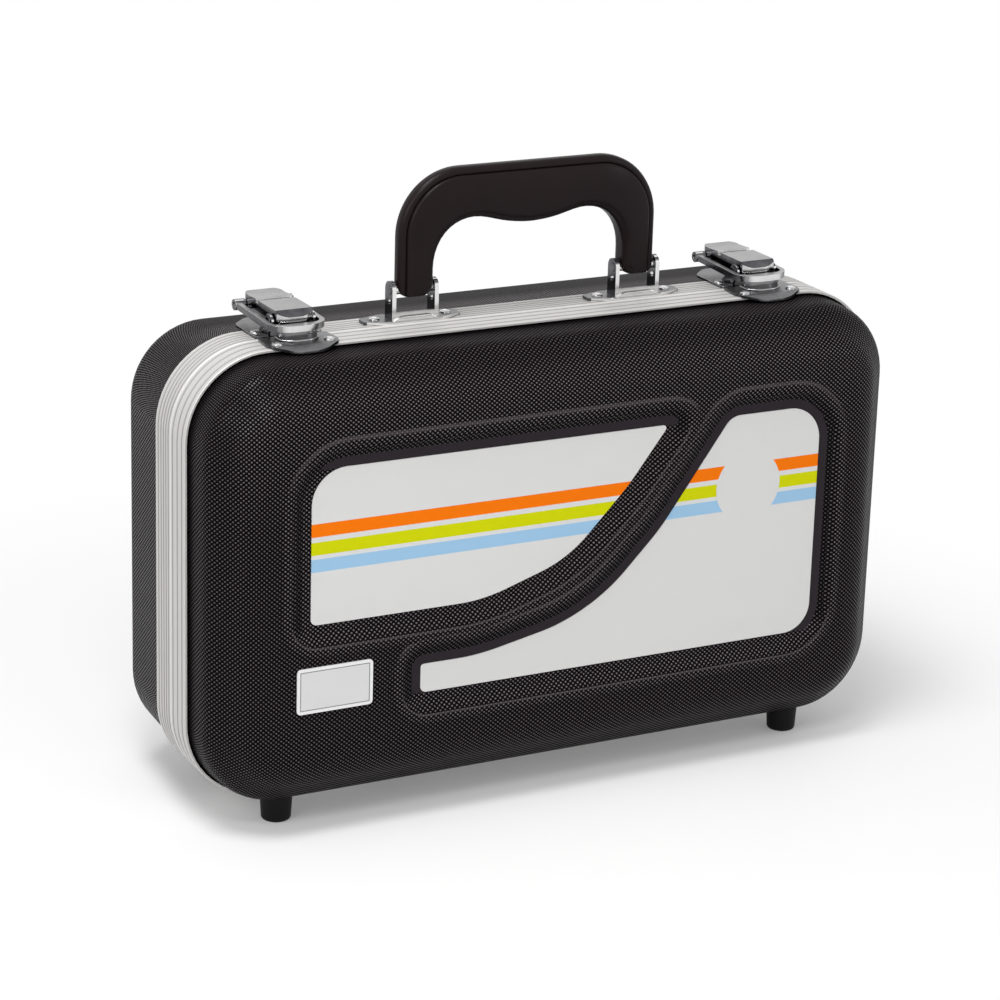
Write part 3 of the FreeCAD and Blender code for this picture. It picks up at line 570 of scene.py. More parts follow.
class Graph:
    """A node tree, with its numbers as values to reckon with."""

    def __init__(self, tree: bpy.types.NodeTree) -> None:
        """Keeps the tree's nodes and links."""
        self.nodes, self.links = tree.nodes, tree.links

    def node(self, kind: str, settings: dict[str, object] | None = None,
             inputs: dict[int | str, object] | None = None) -> bpy.types.Node:
        """Adds a node.

        Args:
            kind: The node's type.
            settings: Properties that are set first.
            inputs: Values, or links from other nodes, by socket.

        Returns:
            The node.
        """
        made = self.nodes.new(kind)
        for key, value in (settings or {}).items():
            setattr(made, key, value)
        for key, value in (inputs or {}).items():
            if isinstance(value, Value):
                value = value.socket
            if isinstance(value, bpy.types.NodeSocket):
                self.links.new(value, made.inputs[key])
            else:
                made.inputs[key].default_value = value
        return made

    def number(self, kind: str, settings: dict[str, object],
               inputs: dict[int | str, object]) -> Value:
        """Adds a node and wraps its first output as a number."""
        return Value(self, self.node(kind, settings, inputs).outputs[0])

    def split(self, output: str) -> list[Value]:
        """The three parts of one of the Texture Coordinate node's vectors."""
        vector = self.node("ShaderNodeTexCoord").outputs[output]
        parts = self.node("ShaderNodeSeparateXYZ", {}, {0: vector})
        return [Value(self, parts.outputs[axis]) for axis in range(3)]

    def background_seen(self) -> Value:
        """1 for the rays that the white background is for, and 0 for the rays of light."""
        path = self.node("ShaderNodeLightPath")
        seen = Value(self, path.outputs["Is Camera Ray"])
        for kind in ("Is Glossy Ray", "Is Transmission Ray"):
            seen = seen.most(Value(self, path.outputs[kind]))
        return seen


class Finish(Graph):
    """A procedural material with one surface shader, on the piece's own coordinates."""

    def __init__(self, name: str, **constants: float | tuple[float, ...]) -> None:
        """Makes the material and sets the shader's constant sockets.

        Args:
            name: Name of the material.
            constants: Sockets of the shader by name, with underscores for spaces.
        """
        self.material = bpy.data.materials.new(name)
        self.material.use_nodes = True
        super().__init__(self.material.node_tree)
        self.surface = self.nodes["Principled BSDF"]
        for socket, value in constants.items():
            self.surface.inputs[socket.replace("_", " ")].default_value = value
        self.x, self.y, self.z = (part * (1 / MM) for part in self.split("Object"))

    def grain(self, scale: float, detail: float = 2.0, rates: Corner = (1.0, 1.0, 1.0)) -> Value:
        """Soft noise between 0 and 1.

        Args:
            scale: How fast it changes, per millimetre.
            detail: Number of finer layers.
            rates: What the scale is multiplied by along X, Y and Z.

        Returns:
            The noise.
        """
        parts = (axis * rate for axis, rate in zip((self.x, self.y, self.z), rates))
        at = self.node("ShaderNodeCombineXYZ", {}, dict(enumerate(parts))).outputs[0]
        inputs = {"Vector": at, "Scale": scale, "Detail": detail, "Roughness": 0.55}
        return self.number("ShaderNodeTexNoise", {"noise_dimensions": "3D"}, inputs)

    def blend(self, share: Value, low: "Colour | bpy.types.NodeSocket",
              high: "Colour | bpy.types.NodeSocket") -> bpy.types.NodeSocket:
        """Colour between two others, by a share."""
        inputs = {0: share, 6: low, 7: high}
        inputs = {key: (*colour, 1.0) if isinstance(colour, tuple) else colour
                  for key, colour in inputs.items()}
        return self.node("ShaderNodeMix", {"data_type": "RGBA"}, inputs).outputs[2]

    def feed(self, socket: str, source: "Value | bpy.types.NodeSocket") -> None:
        """Links a number or colour to one of the surface shader's sockets."""
        link = source.socket if isinstance(source, Value) else source
        self.links.new(link, self.surface.inputs[socket])

    def done(self, colour: bpy.types.NodeSocket, roughness: Value, height: Value, depth: float,
             strength: float = 1.0) -> bpy.types.Material:
        """Feeds the surface shader and gives the material.

        Args:
            colour: Base colour.
            roughness: Roughness.
            height: Height of the relief, between 0 and 1.
            depth: Depth of the relief, in millimetres.
            strength: Strength of the relief.

        Returns:
            The material.
        """
        self.feed("Base Color", colour)
        self.feed("Roughness", roughness)
        bump = self.node("ShaderNodeBump", {}, {"Height": height, "Strength": strength,
                                                "Distance": depth * MM})
        self.feed("Normal", bump.outputs["Normal"])
        return self.material


@dataclass(frozen=True)
class CaseForm:
    """Outline, parting plane and depths that every part of the case shares."""

    half_length: float = 180.0
    ground: float = 9.8
    height: float = 213.0
    corner: float = 40.0
    parting: float = -13.2
    lid_depth: float = 51.45
    body_depth: float = 78.45
    shell_inset: float = 1.3
    draft: float = math.tan(math.radians(3.0))
    slope: float = 18.0
    slope_lean: float = math.tan(math.radians(22.5))
    shoulder_radius: float = 12.0
    face_radius: float = 22.0
    wall: float = 2.5
    web: float = 3.2
    first_step: float = 0.02

    @property
    def top(self) -> float:
        """Height of the valances' upper side."""
        return self.ground + self.height

    @property
    def middle(self) -> float:
        """Height of the case's middle."""
        return self.ground + self.height / 2

    @property
    def face(self) -> float:
        """Y of the lid's flat face."""
        return self.level(Side.FRONT, self.lid_depth)

    def corners(self, inset: float) -> list[Corner]:
        """Rounded rectangle of the case, drawn in by an inset."""
        half = self.half_length - inset
        return rounded_box(-half, half, self.ground + inset, self.top - inset,
                           self.corner - inset)

    def depth_of(self, side: Side) -> float:
        """Depth of one half from the parting plane."""
        return self.lid_depth if side is Side.FRONT else self.body_depth

    def level(self, side: Side, depth: float) -> float:
        """Y of a plane at a depth from the parting plane."""
        return self.parting + side.value * depth

    def section(self, depth: float, inward: float, start: float,
                chords: tuple[int, int]) -> list[Pair]:
        """Section of a half's wall, from its rim over the slope to the flat face.

        Args:
            depth: Depth of the outer face from the parting plane.
            inward: Distance inside the outer surface.
            start: Depth at which the section starts.
            chords: Chords of the shoulder's bend and of the face's bend.

        Returns:
            Pairs of depth and inset.
        """
        edge, face = depth - self.slope - self.slope_lean * inward, depth - inward
        rim = (start, self.shell_inset + self.draft * start + inward)
        shoulder = (edge, self.shell_inset + self.draft * edge + inward)
        brow = (face, shoulder[1] + face - edge)
        middle = (face, self.height / 2)
        return [rim, *bend(rim, shoulder, brow, self.shoulder_radius - inward, chords[0]),
                *bend(shoulder, brow, middle, self.face_radius - inward, chords[1])]

    def carried(self, name: str, side: Side, section: Sequence[Pair], arc: int) -> Workpiece:
        """Carries the case's outline through a section.

        Args:
            name: Name of the piece.
            side: Half that it belongs to.
            section: Pairs of depth and inset.
            arc: Chords of each rounded corner.

        Returns:
            The piece, with its last face selected.
        """
        start, inset = section[0]
        piece = Workpiece(name, self.corners(inset), Plane.XZ, self.level(side, start),
                          side.value, arc=arc)
        piece.push(self.first_step)
        return piece.follow([(start + self.first_step, inset), *section[1:]])


FORM = CaseForm()
GROOVES = {Side.FRONT: (3.2, 8.6, 13.8), Side.REAR: (1.9, 4.7, 7.5, 10.4, 13.6)}


class Spot:
    """Where a point lies on the outside of one shell, as node values."""

    def __init__(self, finish: Finish, side: Side) -> None:
        """Reckons the values from the shell's own coordinates."""
        self.x, self.rise = finish.x, finish.z - FORM.middle
        self.below = (finish.y - FORM.parting) * -side.value + FORM.depth_of(side)
        self.behind = self.below.most(0.0)
        self.over = self.rise.ramp(FORM.height / 2 - 9.0, FORM.height / 2 - 2.0)
        self.upward = finish.split("Normal")[2]


@dataclass(frozen=True)
class EmbossedAbs:
    """Black moulded ABS sheet with a fine diamond emboss that follows the drawn sheet; the dot tops
    carry a painted highlight in their colour.
    """

    name: str
    side: Side
    pitch_along: float = 2.5
    pitch_up: float = 2.1
    depth: float = 1.0
    sharpness: float = 1.6
    slope_draw: float = 0.42
    wall_draw: float = 0.97
    frames_half: Pair = (141.0, 69.0)
    rib_start: Pair = (-60.0, -27.0)
    rib_end: Pair = (66.0, 59.0)
    foot_line: float = -54.4
    # valley is the ABS's own black; the colours of the dot tops and of the crest are painted
    # highlight; smooth is the ledge's dark tone, painted shade under the recess slope.
    valley: Colour = (0.0014, 0.0011, 0.0013)
    painted_tip_highlight: Colour = (0.1030, 0.0850, 0.0940)
    lit_tip: Colour = (0.2700, 0.2360, 0.2480)
    crest: Colour = (0.1000, 0.0860, 0.0930)
    smooth: Colour = (0.0280, 0.0235, 0.0275)

    def diamonds(self, at: Spot) -> Value:
        """Height of the emboss, stretched round the corners as the sheet was drawn.

        Args:
            at: Where the point lies.

        Returns:
            The height, between 0 and 1.
        """
        along = (abs(at.x) - (FORM.half_length - FORM.corner)).most(0.0)
        up = (abs(at.rise) - (FORM.height / 2 - FORM.corner)).most(0.0)
        reach = (along * along + up * up + 0.01).maths("SQRT")
        drawn = (at.behind.least(FORM.slope) * self.slope_draw
                 + (at.behind - FORM.slope).most(0.0) * self.wall_draw)
        u = (at.x + at.x.sign() * drawn * along / reach) * (math.pi / self.pitch_along)
        v = (at.rise + at.rise.sign() * drawn * up / reach) * (math.pi / self.pitch_up)
        left, right = abs((u + v).sine()), abs((u - v).sine())
        if self.side is Side.REAR:
            right = (right + at.over * 0.8).least(1.0)
        return (left * right) ** self.sharpness

    def kept_and_painted_highlight(self, at: Spot) -> tuple[Value, Value]:
        """How much of the emboss the stretching left, and a painted highlight that brightens its
        tips.

        Args:
            at: Where the point lies.

        Returns:
            Both shares.
        """
        if self.side is Side.REAR:
            kept = 1.0 - at.over * (FORM.body_depth - 30.0 - at.behind).ramp(0.0, 14.0)
            # Painted highlight: the tips grow brighter near the body's ends, where the end walls
            # catch the light.
            ends = abs(at.x).ramp(FORM.half_length - 14.0, FORM.half_length - 6.0)
            return kept, ends * 0.25
        near = (at.behind - (FORM.lid_depth - 24.0)).ramp(0.0, 5.0)
        kept = (1.0 - near * 0.8) * (1.0 - at.behind.ramp(4.0, 14.0) * 0.2)
        # Painted highlight: the tips grow brighter high on the lid's face, where its brow catches
        # the light from above.
        return kept, at.rise.ramp(20.0, 85.0) * (1.0 - at.behind.ramp(2.0, 12.0)) * 0.4

    def frames(self, at: Spot) -> tuple[Value, Value, Value]:
        """Marks the painted light and shade in the recesses, which a bowed rib parts from one
        another.

        The ledge is left smooth and dark as painted shade under the slope, but for dots below the
        top of the left one and along the foot of the right one, which take a painted highlight.

        Args:
            at: Where the point lies.

        Returns:
            Shares of the smooth ledge in painted shade, of the dots in painted light and of the
            dots in painted shade.
        """
        inside = ((self.frames_half[0] - abs(at.x)).ramp(0.0, 1.0)
                  * (self.frames_half[1] - abs(at.rise)).ramp(0.0, 1.0))
        start, end = self.rib_start, self.rib_end
        bow = (at.x - start[0]).most(0.0) * (1 / (end[0] - start[0]))
        left = ((at.rise - start[1] - bow * bow * (end[1] - start[1])).ramp(0.0, 0.5)
                * (end[1] - at.rise).ramp(0.0, 0.5))
        dotted = left.most((self.foot_line - at.rise).ramp(0.0, 0.4))
        # Painted shade: the ledge drops its dots and takes the dark smooth colour.
        ledge = inside * at.below.ramp(2.30, 2.50)
        # Painted highlight: dots on the slope where it faces up, and on the dotted ledge.
        slope = inside * at.below.ramp(0.1, 0.5) * at.upward.ramp(0.10, 0.30)
        lit = slope.most(ledge * dotted)
        # Painted shade: the other dots inside the recess are darkened.
        shade = inside * at.below.ramp(0.3, 0.7) * (1.0 - lit) * 0.5
        return ledge * (1.0 - dotted), lit, shade

    def make(self) -> bpy.types.Material:
        """Builds the material."""
        finish = Finish(self.name, Specular_IOR_Level=0.025, Coat_Roughness=0.30, Coat_IOR=1.38)
        at = Spot(finish, self.side)
        (kept, painted_highlight), (ledge, lit, shade), above = self.kept_and_painted_highlight(at), self.frames(at), 0.0 - at.below
        kept = kept * (1.0 - ledge)
        dots = self.diamonds(at)
        # Painted highlight: the tops of the dots are coloured lighter than the valleys.
        tips = dots.ramp(0.25, 0.85) * kept
        # Painted highlight: dots on the bead's crest, on the lit slopes and in the painted face and
        # end highlight take the lit colour.
        painted_tip_highlight = finish.blend((above.ramp(0.05, 0.34).most(lit) * 0.5).most(painted_highlight), self.painted_tip_highlight,
                           self.lit_tip)
        tint = finish.blend(tips * (1.0 - shade), self.valley, painted_tip_highlight)
        # Painted highlight: a lighter line along the bead's crest where it faces up.
        line = above.ramp(0.08, 0.28) * at.upward.ramp(0.03, 0.16)
        tint = finish.blend(line * 0.55, tint, self.crest)
        finish.feed("Coat Weight", tips * (1.0 - at.over * 0.8) * 0.85)
        worn, fine = finish.grain(0.02), finish.grain(1.2, 1.0)
        # Painted shade: the smooth ledge takes its dark colour here.
        return finish.done(finish.blend(ledge, tint, self.smooth),
                           0.42 + worn * 0.08 - tips * 0.08, dots * kept + fine * 0.03, self.depth)


@dataclass(frozen=True)
class SatinAluminium:
    """Anodised extrusion with fine draw lines along its length, painted shade in its grooves and a
    painted highlight along its rim at the seam.
    """

    name: str = "valance_satin"
    soft: Pair = (0.2, 1.1)
    dull: Colour = (0.52, 0.51, 0.50)
    light: Colour = (0.60, 0.59, 0.58)
    # bright is a painted highlight colour, groove a painted shade colour.
    bright: Colour = (0.86, 0.85, 0.84)
    groove: Colour = (0.26, 0.25, 0.245)

    def make(self) -> bpy.types.Material:
        """Builds the material."""
        finish = Finish(self.name, Metallic=0.35, Specular_IOR_Level=0.3)
        lines = finish.grain(1.0, rates=(0.002, 2.2, 0.002))
        cloud = finish.grain(1.0, rates=(0.02, 0.1, 0.02))
        levels = [FORM.level(side, depth) for side, depths in GROOVES.items() for depth in depths]
        sunk = 1.0 - abs(finish.y - levels[0]).ramp(*self.soft)
        for level in levels[1:]:
            sunk = sunk.most(1.0 - abs(finish.y - level).ramp(*self.soft))
        # Painted highlight: a lighter band along the front rim at the parting seam.
        seam = 1.0 - abs(finish.y - FORM.parting + 0.5).ramp(*self.soft)
        metal = finish.blend(lines * 0.5 + cloud * 0.5, self.dull, self.light)
        metal = finish.blend(seam * 0.6, metal, self.bright)
        # Painted shade: the grooves are darkened.
        metal = finish.blend(sunk * 0.85, metal, self.groove)
        return finish.done(metal, 0.50 + lines * 0.08, lines, 0.006, 0.3)


@dataclass(frozen=True)
class Chrome:
    """Nickel-chrome plate, polished on the sides and brushed where a face looks up, its reflections
    painted into its colour by the way each face looks.
    """

    name: str
    # Shares of painted reflection on flat tops and on faces that look forward.
    flat: float = 0.34
    front: float = 0.75
    polish: float = 0.10
    brushed: float = 0.30
    dark: Colour = (0.070, 0.070, 0.078)
    light: Colour = (0.90, 0.895, 0.89)

    def make(self) -> bpy.types.Material:
        """Builds the material."""
        finish = Finish(self.name, Metallic=1.0)
        _, rearward, upward = finish.split("Normal")
        # Painted reflection: faces that look up, part-way up, forward or flat on top are coloured
        # lighter.
        top = upward.ramp(0.93, 0.99)
        lit = (upward.within(0.18, 0.42, 0.08) * 0.9).most(upward.within(0.80, 0.93, 0.05))
        lit = lit.most((rearward * -1.0).ramp(0.82, 0.97) * self.front).most(top * self.flat)
        lines = finish.grain(1.0, 3.0, (3.0, 0.35, 3.0))
        smudge = finish.grain(0.15)
        # Painted reflection: the colour runs from dark to light by that share, with random smudges.
        metal = finish.blend(lit * 0.95 + smudge * 0.24 - 0.09, self.dark, self.light)
        rough = self.polish + top * (self.brushed - self.polish) + lines * 0.05 + smudge * 0.04
        return finish.done(metal, rough, lines * top, 0.012, 0.6)


@dataclass(frozen=True)
class ZincSteel:
    """Dull plated steel of the hinges under the case."""

    name: str = "hinge_zinc"
    dark: Colour = (0.42, 0.42, 0.43)
    light: Colour = (0.60, 0.59, 0.57)

    def make(self) -> bpy.types.Material:
        """Builds the material."""
        finish = Finish(self.name, Metallic=1.0)
        cloud = finish.grain(0.3, 3.0)
        metal = finish.blend(cloud, self.dark, self.light)
        return finish.done(metal, 0.28 + cloud * 0.2, cloud, 0.02)


@dataclass(frozen=True)
class HandlePlastic:
    """Smooth satin black moulding of the handle, slightly brown in the light."""

    name: str = "handle_satin"
    dark: Colour = (0.0075, 0.0044, 0.0050)
    light: Colour = (0.0130, 0.0075, 0.0084)

    def make(self) -> bpy.types.Material:
        """Builds the material."""
        finish = Finish(self.name, Specular_IOR_Level=0.06, Coat_Roughness=0.3, Coat_Weight=0.1)
        soft = finish.grain(0.05)
        pores = finish.grain(2.2)
        colour = finish.blend(soft, self.dark, self.light)
        return finish.done(colour, 0.27 + soft * 0.08 + pores * 0.05, pores, 0.04, 0.5)


@dataclass(frozen=True)
class FootRubber:
    """Matt black rubber of the feet, scuffed at the ground."""

    name: str = "foot_rubber_matt"
    dark: Colour = (0.0045, 0.0040, 0.0040)
    scuffed: Colour = (0.020, 0.019, 0.018)
    scuff_height: float = 2.2

    def make(self) -> bpy.types.Material:
        """Builds the material."""
        finish = Finish(self.name, Specular_IOR_Level=0.15)
        pores = finish.grain(1.5, 3.0)
        scuff = (1.0 - finish.z.ramp(0.0, self.scuff_height)) * pores
        colour = finish.blend(scuff, self.dark, self.scuffed)
        return finish.done(colour, 0.48 + pores * 0.12, pores, 0.05, 0.6)


@dataclass(frozen=True)
class PlushLining:
    """Short black plush of the tray and the lid lining."""

    name: str = "plush_black"
    dark: Colour = (0.006, 0.006, 0.008)
    light: Colour = (0.034, 0.034, 0.040)

    def make(self) -> bpy.types.Material:
        """Builds the material."""
        finish = Finish(self.name, Specular_IOR_Level=0.2, Sheen_Weight=0.35,
                        Sheen_Roughness=0.45, Sheen_Tint=(0.75, 0.75, 0.80, 1.0))
        pile = finish.grain(1.7, 3.0)
        swept = finish.grain(1.0, rates=(0.03, 0.03, 0.05))
        colour = finish.blend(pile * 0.5 + swept * 0.5, self.dark, self.light)
        return finish.done(colour, 0.80 + pile * 0.15, pile, 0.45, 0.8)


@dataclass(frozen=True)
class StripedSheet:
    """White printed sheet with three plain stripes that stop at a bare disc."""

    name: str = "panel_print"
    stripes: tuple[tuple[float, float, Colour], ...] = (
        (144.0, 150.2, (0.900, 0.182, 0.001)),
        (135.5, 141.6, (0.605, 0.640, 0.001)),
        (127.5, 133.6, (0.325, 0.540, 0.750)),
    )
    disc: tuple[float, float, float] = (94.3, 139.9, 17.5)
    rib: Pair = (30.0, 46.0)
    lift: float = 1.1
    white: Colour = (0.690, 0.688, 0.680)
    blur: float = 0.12

    def make(self) -> bpy.types.Material:
        """Builds the material, its stripes a little higher on the sheet past the rib."""
        finish = Finish(self.name, Specular_IOR_Level=0.06)
        x, z = finish.x, finish.z
        ink = finish.grain(0.08)
        colour = finish.blend(ink * 0.5, self.white, tuple(0.955 * part for part in self.white))
        away = ((x - self.disc[0]) ** 2.0 + (z - self.disc[1]) ** 2.0).maths("SQRT")
        outside = away.ramp(self.disc[2] - self.blur, self.disc[2] + self.blur)
        level = z - x.ramp(*self.rib) * self.lift
        for low, high, tint in self.stripes:
            colour = finish.blend(level.within(low, high, self.blur) * outside, colour, tint)
        pores = finish.grain(0.25)
        return finish.done(colour, 0.30 + ink * 0.08, pores, 0.03, 0.5)


@dataclass(frozen=True)
class PlateMetal:
    """Bare nameplate: pale satin middle, thin dark line and a silver border."""

    name: str = "nameplate_satin"
    centre: Pair = (-121.36, 72.4)
    half: Pair = (18.85, 10.95)
    line: float = 1.55
    silver: Colour = (0.80, 0.80, 0.80)
    satin: Colour = (0.66, 0.665, 0.66)
    ink: Colour = (0.10, 0.10, 0.105)

    def make(self) -> bpy.types.Material:
        """Builds the material."""
        finish = Finish(self.name, Metallic=0.55)
        inward = (self.half[0] - abs(finish.x - self.centre[0])).least(
            self.half[1] - abs(finish.z - self.centre[1]))
        line = inward.within(self.line, self.line + 0.45, 0.12)
        brush = finish.grain(1.0, rates=(0.2, 1.0, 5.0))
        middle = inward.ramp(self.line, self.line + 0.5)
        colour = finish.blend(middle, self.silver, self.satin)
        colour = finish.blend(line * 0.8, colour, self.ink)
        return finish.done(colour, 0.34 + brush * 0.12, brush * 0.3 + (1.0 - line), 0.05, 0.7)


class Finishes:
    """Every material of the case, made once."""

    def __init__(self) -> None:
        """Makes the materials."""
        self.lid_abs = EmbossedAbs("abs_emboss_lid", Side.FRONT).make()
        self.body_abs = EmbossedAbs("abs_emboss_body", Side.REAR).make()
        self.aluminium = SatinAluminium().make()
        self.chrome = Chrome("latch_chrome_plate").make()
        # Lit and shaded copies of the chrome, their painted reflection set brighter or darker: the
        # bracket's front brighter and its top darker, the rivet tops brighter, the keeper and the
        # latch base darker.
        self.bright = Chrome("bracket_chrome_lit", flat=0.10, front=0.85).make()
        self.dark = Chrome("keeper_chrome_shaded", flat=0.12, front=0.15).make()
        self.dome = Chrome("rivet_chrome_lit", flat=0.95, front=0.50).make()
        self.zinc = ZincSteel().make()
        self.handle = HandlePlastic().make()
        self.rubber = FootRubber().make()
        self.plush = PlushLining().make()
        self.sheet = StripedSheet().make()
        self.plate = PlateMetal().make()


def deliver(shape: bpy.types.Object, material: bpy.types.Material, body: str,
            replaced: Sequence[str], angle: float = 32.0) -> bpy.types.Object:
    """Smooths a finished piece, dresses it and hangs it on its body.

    Args:
        shape: The piece.
        material: Its material.
        body: Body that it rides on.
        replaced: Nodes that it stands for.
        angle: Edges sharper than this stay sharp, in degrees.

    Returns:
        The piece.
    """
    alone(shape)
    bpy.ops.object.shade_smooth_by_angle(angle=math.radians(angle))
    finished(shape, "WEIGHTED_NORMAL", keep_sharp=True)
    shape.data.materials.clear()
    shape.data.materials.append(material)
    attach(shape, body)
    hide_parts(*replaced)
    LOG.info("%s on %s: %d faces", shape.name, body, len(shape.data.polygons))
    return shape


def dress(nodes: Sequence[str], material: bpy.types.Material) -> None:
    """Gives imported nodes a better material, their shapes left as they are.

    Args:
        nodes: Names of the nodes.
        material: The material for every slot.
    """
    for name in nodes:
        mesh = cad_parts[name].data
        if not mesh.materials:
            mesh.materials.append(material)
        for index in range(len(mesh.materials)):
            mesh.materials[index] = material
        LOG.info("%s dressed in %s", name, material.name)


@dataclass(frozen=True)
class Recess:
    """One panel's bevelled frame: outline in shares, radii in shares of the half length."""

    name: str
    shares: tuple[Pair, ...]
    radii: tuple[float, ...]
    ledge: float = 3.7
    ledge_depth: float = 2.55
    slope_top: float = 10.9
    bead_top: float = 12.3
    bead_foot: float = 16.2
    bead_rise: float = 0.5
    bead_root: float = 1.0
    brow_radius: float = 1.6
    foot_radius: float = 1.1
    clear: float = 1.5
    seat_gap: float = 0.15
    seat_depth: float = 0.6
    seat_lap: float = 0.4
    backing_out: float = 11.5
    backing_lap: float = 1.0
    backing_back: float = 2.75

    def outline(self) -> list[Corner]:
        """Corners of the sheet's outline."""
        return [(u * FORM.half_length, FORM.ground + v * FORM.height, radius * FORM.half_length)
                for (u, v), radius in zip(self.shares, self.radii)]

    def bead(self) -> bpy.types.Object:
        """Low rounded bead that the frame stands in, added to the face."""
        root, rise, run = self.bead_root, self.bead_rise, self.bead_foot - self.bead_top
        stations = [(0.0, 0.0), (root, 0.0), (root + rise * 0.15, run * 0.30),
                    (root + rise * 0.5, run * 0.55), (root + rise * 0.88, run * 0.82),
                    (root + rise, run * 1.05)]
        piece = Workpiece(self.name + "_bead", grown(self.outline(), self.bead_foot), Plane.XZ,
                          FORM.face + root, -1)
        return piece.follow(stations).cleaned().off_bench()

    def cutter(self) -> bpy.types.Object:
        """Solid that cuts the frame's slope, its ledge and the seat of the sheet."""
        rise, ledge, depth = self.bead_rise, self.ledge, self.ledge_depth
        profile = bend((self.bead_top + 2.0, -rise), (self.slope_top, -rise), (ledge, depth),
                       self.brow_radius, 5)
        profile += bend((self.slope_top, -rise), (ledge + 0.7, depth), (ledge - 3.0, depth),
                        self.foot_radius, 4)
        start, lift = profile[0][0], rise + self.clear
        stations = [(-lift, 0.0)] + [(level, start - outset) for outset, level in profile]
        piece = Workpiece(self.name + "_cutter", grown(self.outline(), start), Plane.XZ,
                          FORM.face - lift)
        frame = piece.follow(stations).cleaned().off_bench()
        floor = FORM.face + depth
        seat = prism(self.name + "_seat_cutter", grown(self.outline(), self.seat_gap), Plane.XZ,
                     floor - self.seat_lap, floor + self.seat_depth)
        return work(frame, seat, Cut.ONTO)

    def backing(self) -> bpy.types.Object:
        """Thick seat behind the frame, from outside the face to the seat's back."""
        return prism(self.name + "_seat", grown(self.outline(), self.backing_out), Plane.XZ,
                     FORM.face - self.backing_lap, FORM.face + FORM.wall + self.backing_back)


RECESSES = (
    Recess("recess_left",
           ((-0.7361, 0.7774), (0.2739, 0.7774), (0.1594, 0.6502), (-0.0111, 0.5014),
            (-0.2556, 0.4347), (-0.7361, 0.4347)),
           (0.0944, 0.0083, 0.5556, 0.3333, 0.4444, 0.0167)),
    Recess("recess_right",
           ((-0.4278, 0.3089), (-0.2667, 0.3089), (-0.0222, 0.3507), (0.1111, 0.4094),
            (0.2611, 0.5385), (0.4639, 0.7779), (0.7381, 0.7779), (0.7381, 0.2437),
            (-0.4278, 0.2437)),
           (0.0083, 0.5556, 0.4444, 0.4444, 0.5556, 0.0500, 0.0944, 0.0778, 0.0167)),
)


@dataclass
class Shells:
    """The two moulded half shells."""

    finishes: Finishes
    chords: tuple[int, int] = (7, 9)
    corner_chords: int = 14
    rim_overcut: float = 2.0
    cap_inset: float = 1.5

    def block(self, name: str, side: Side, inward: float, start: float) -> bpy.types.Object:
        """Closed block within one half's outer or inner surface."""
        section = FORM.section(FORM.depth_of(side), inward, start, self.chords)
        piece = FORM.carried(name, side, section, self.corner_chords)
        return piece.step(self.cap_inset, 0.0).off_bench()

    def shell(self, name: str, side: Side, recesses: Sequence[Recess]) -> bpy.types.Object:
        """Shell of one half, with the frames that are pressed into it."""
        shape = self.block(name + "_shell", side, 0.0, FORM.web)
        for recess in recesses:
            work(shape, recess.bead(), Cut.ONTO)
        for recess in recesses:
            work(shape, recess.cutter(), Cut.AWAY)
        hollow = self.block(name + "_hollow", side, FORM.wall, FORM.web - self.rim_overcut)
        for recess in recesses:
            work(hollow, recess.backing(), Cut.AWAY)
        return work(shape, hollow, Cut.AWAY)

    def build(self) -> None:
        """Builds and delivers both shells."""
        deliver(self.shell("lid", Side.FRONT, RECESSES), self.finishes.lid_abs, "lid",
                ["front_shell"], 40.0)
        deliver(self.shell("body", Side.REAR, ()), self.finishes.body_abs, "case",
                ["rear_shell"], 40.0)


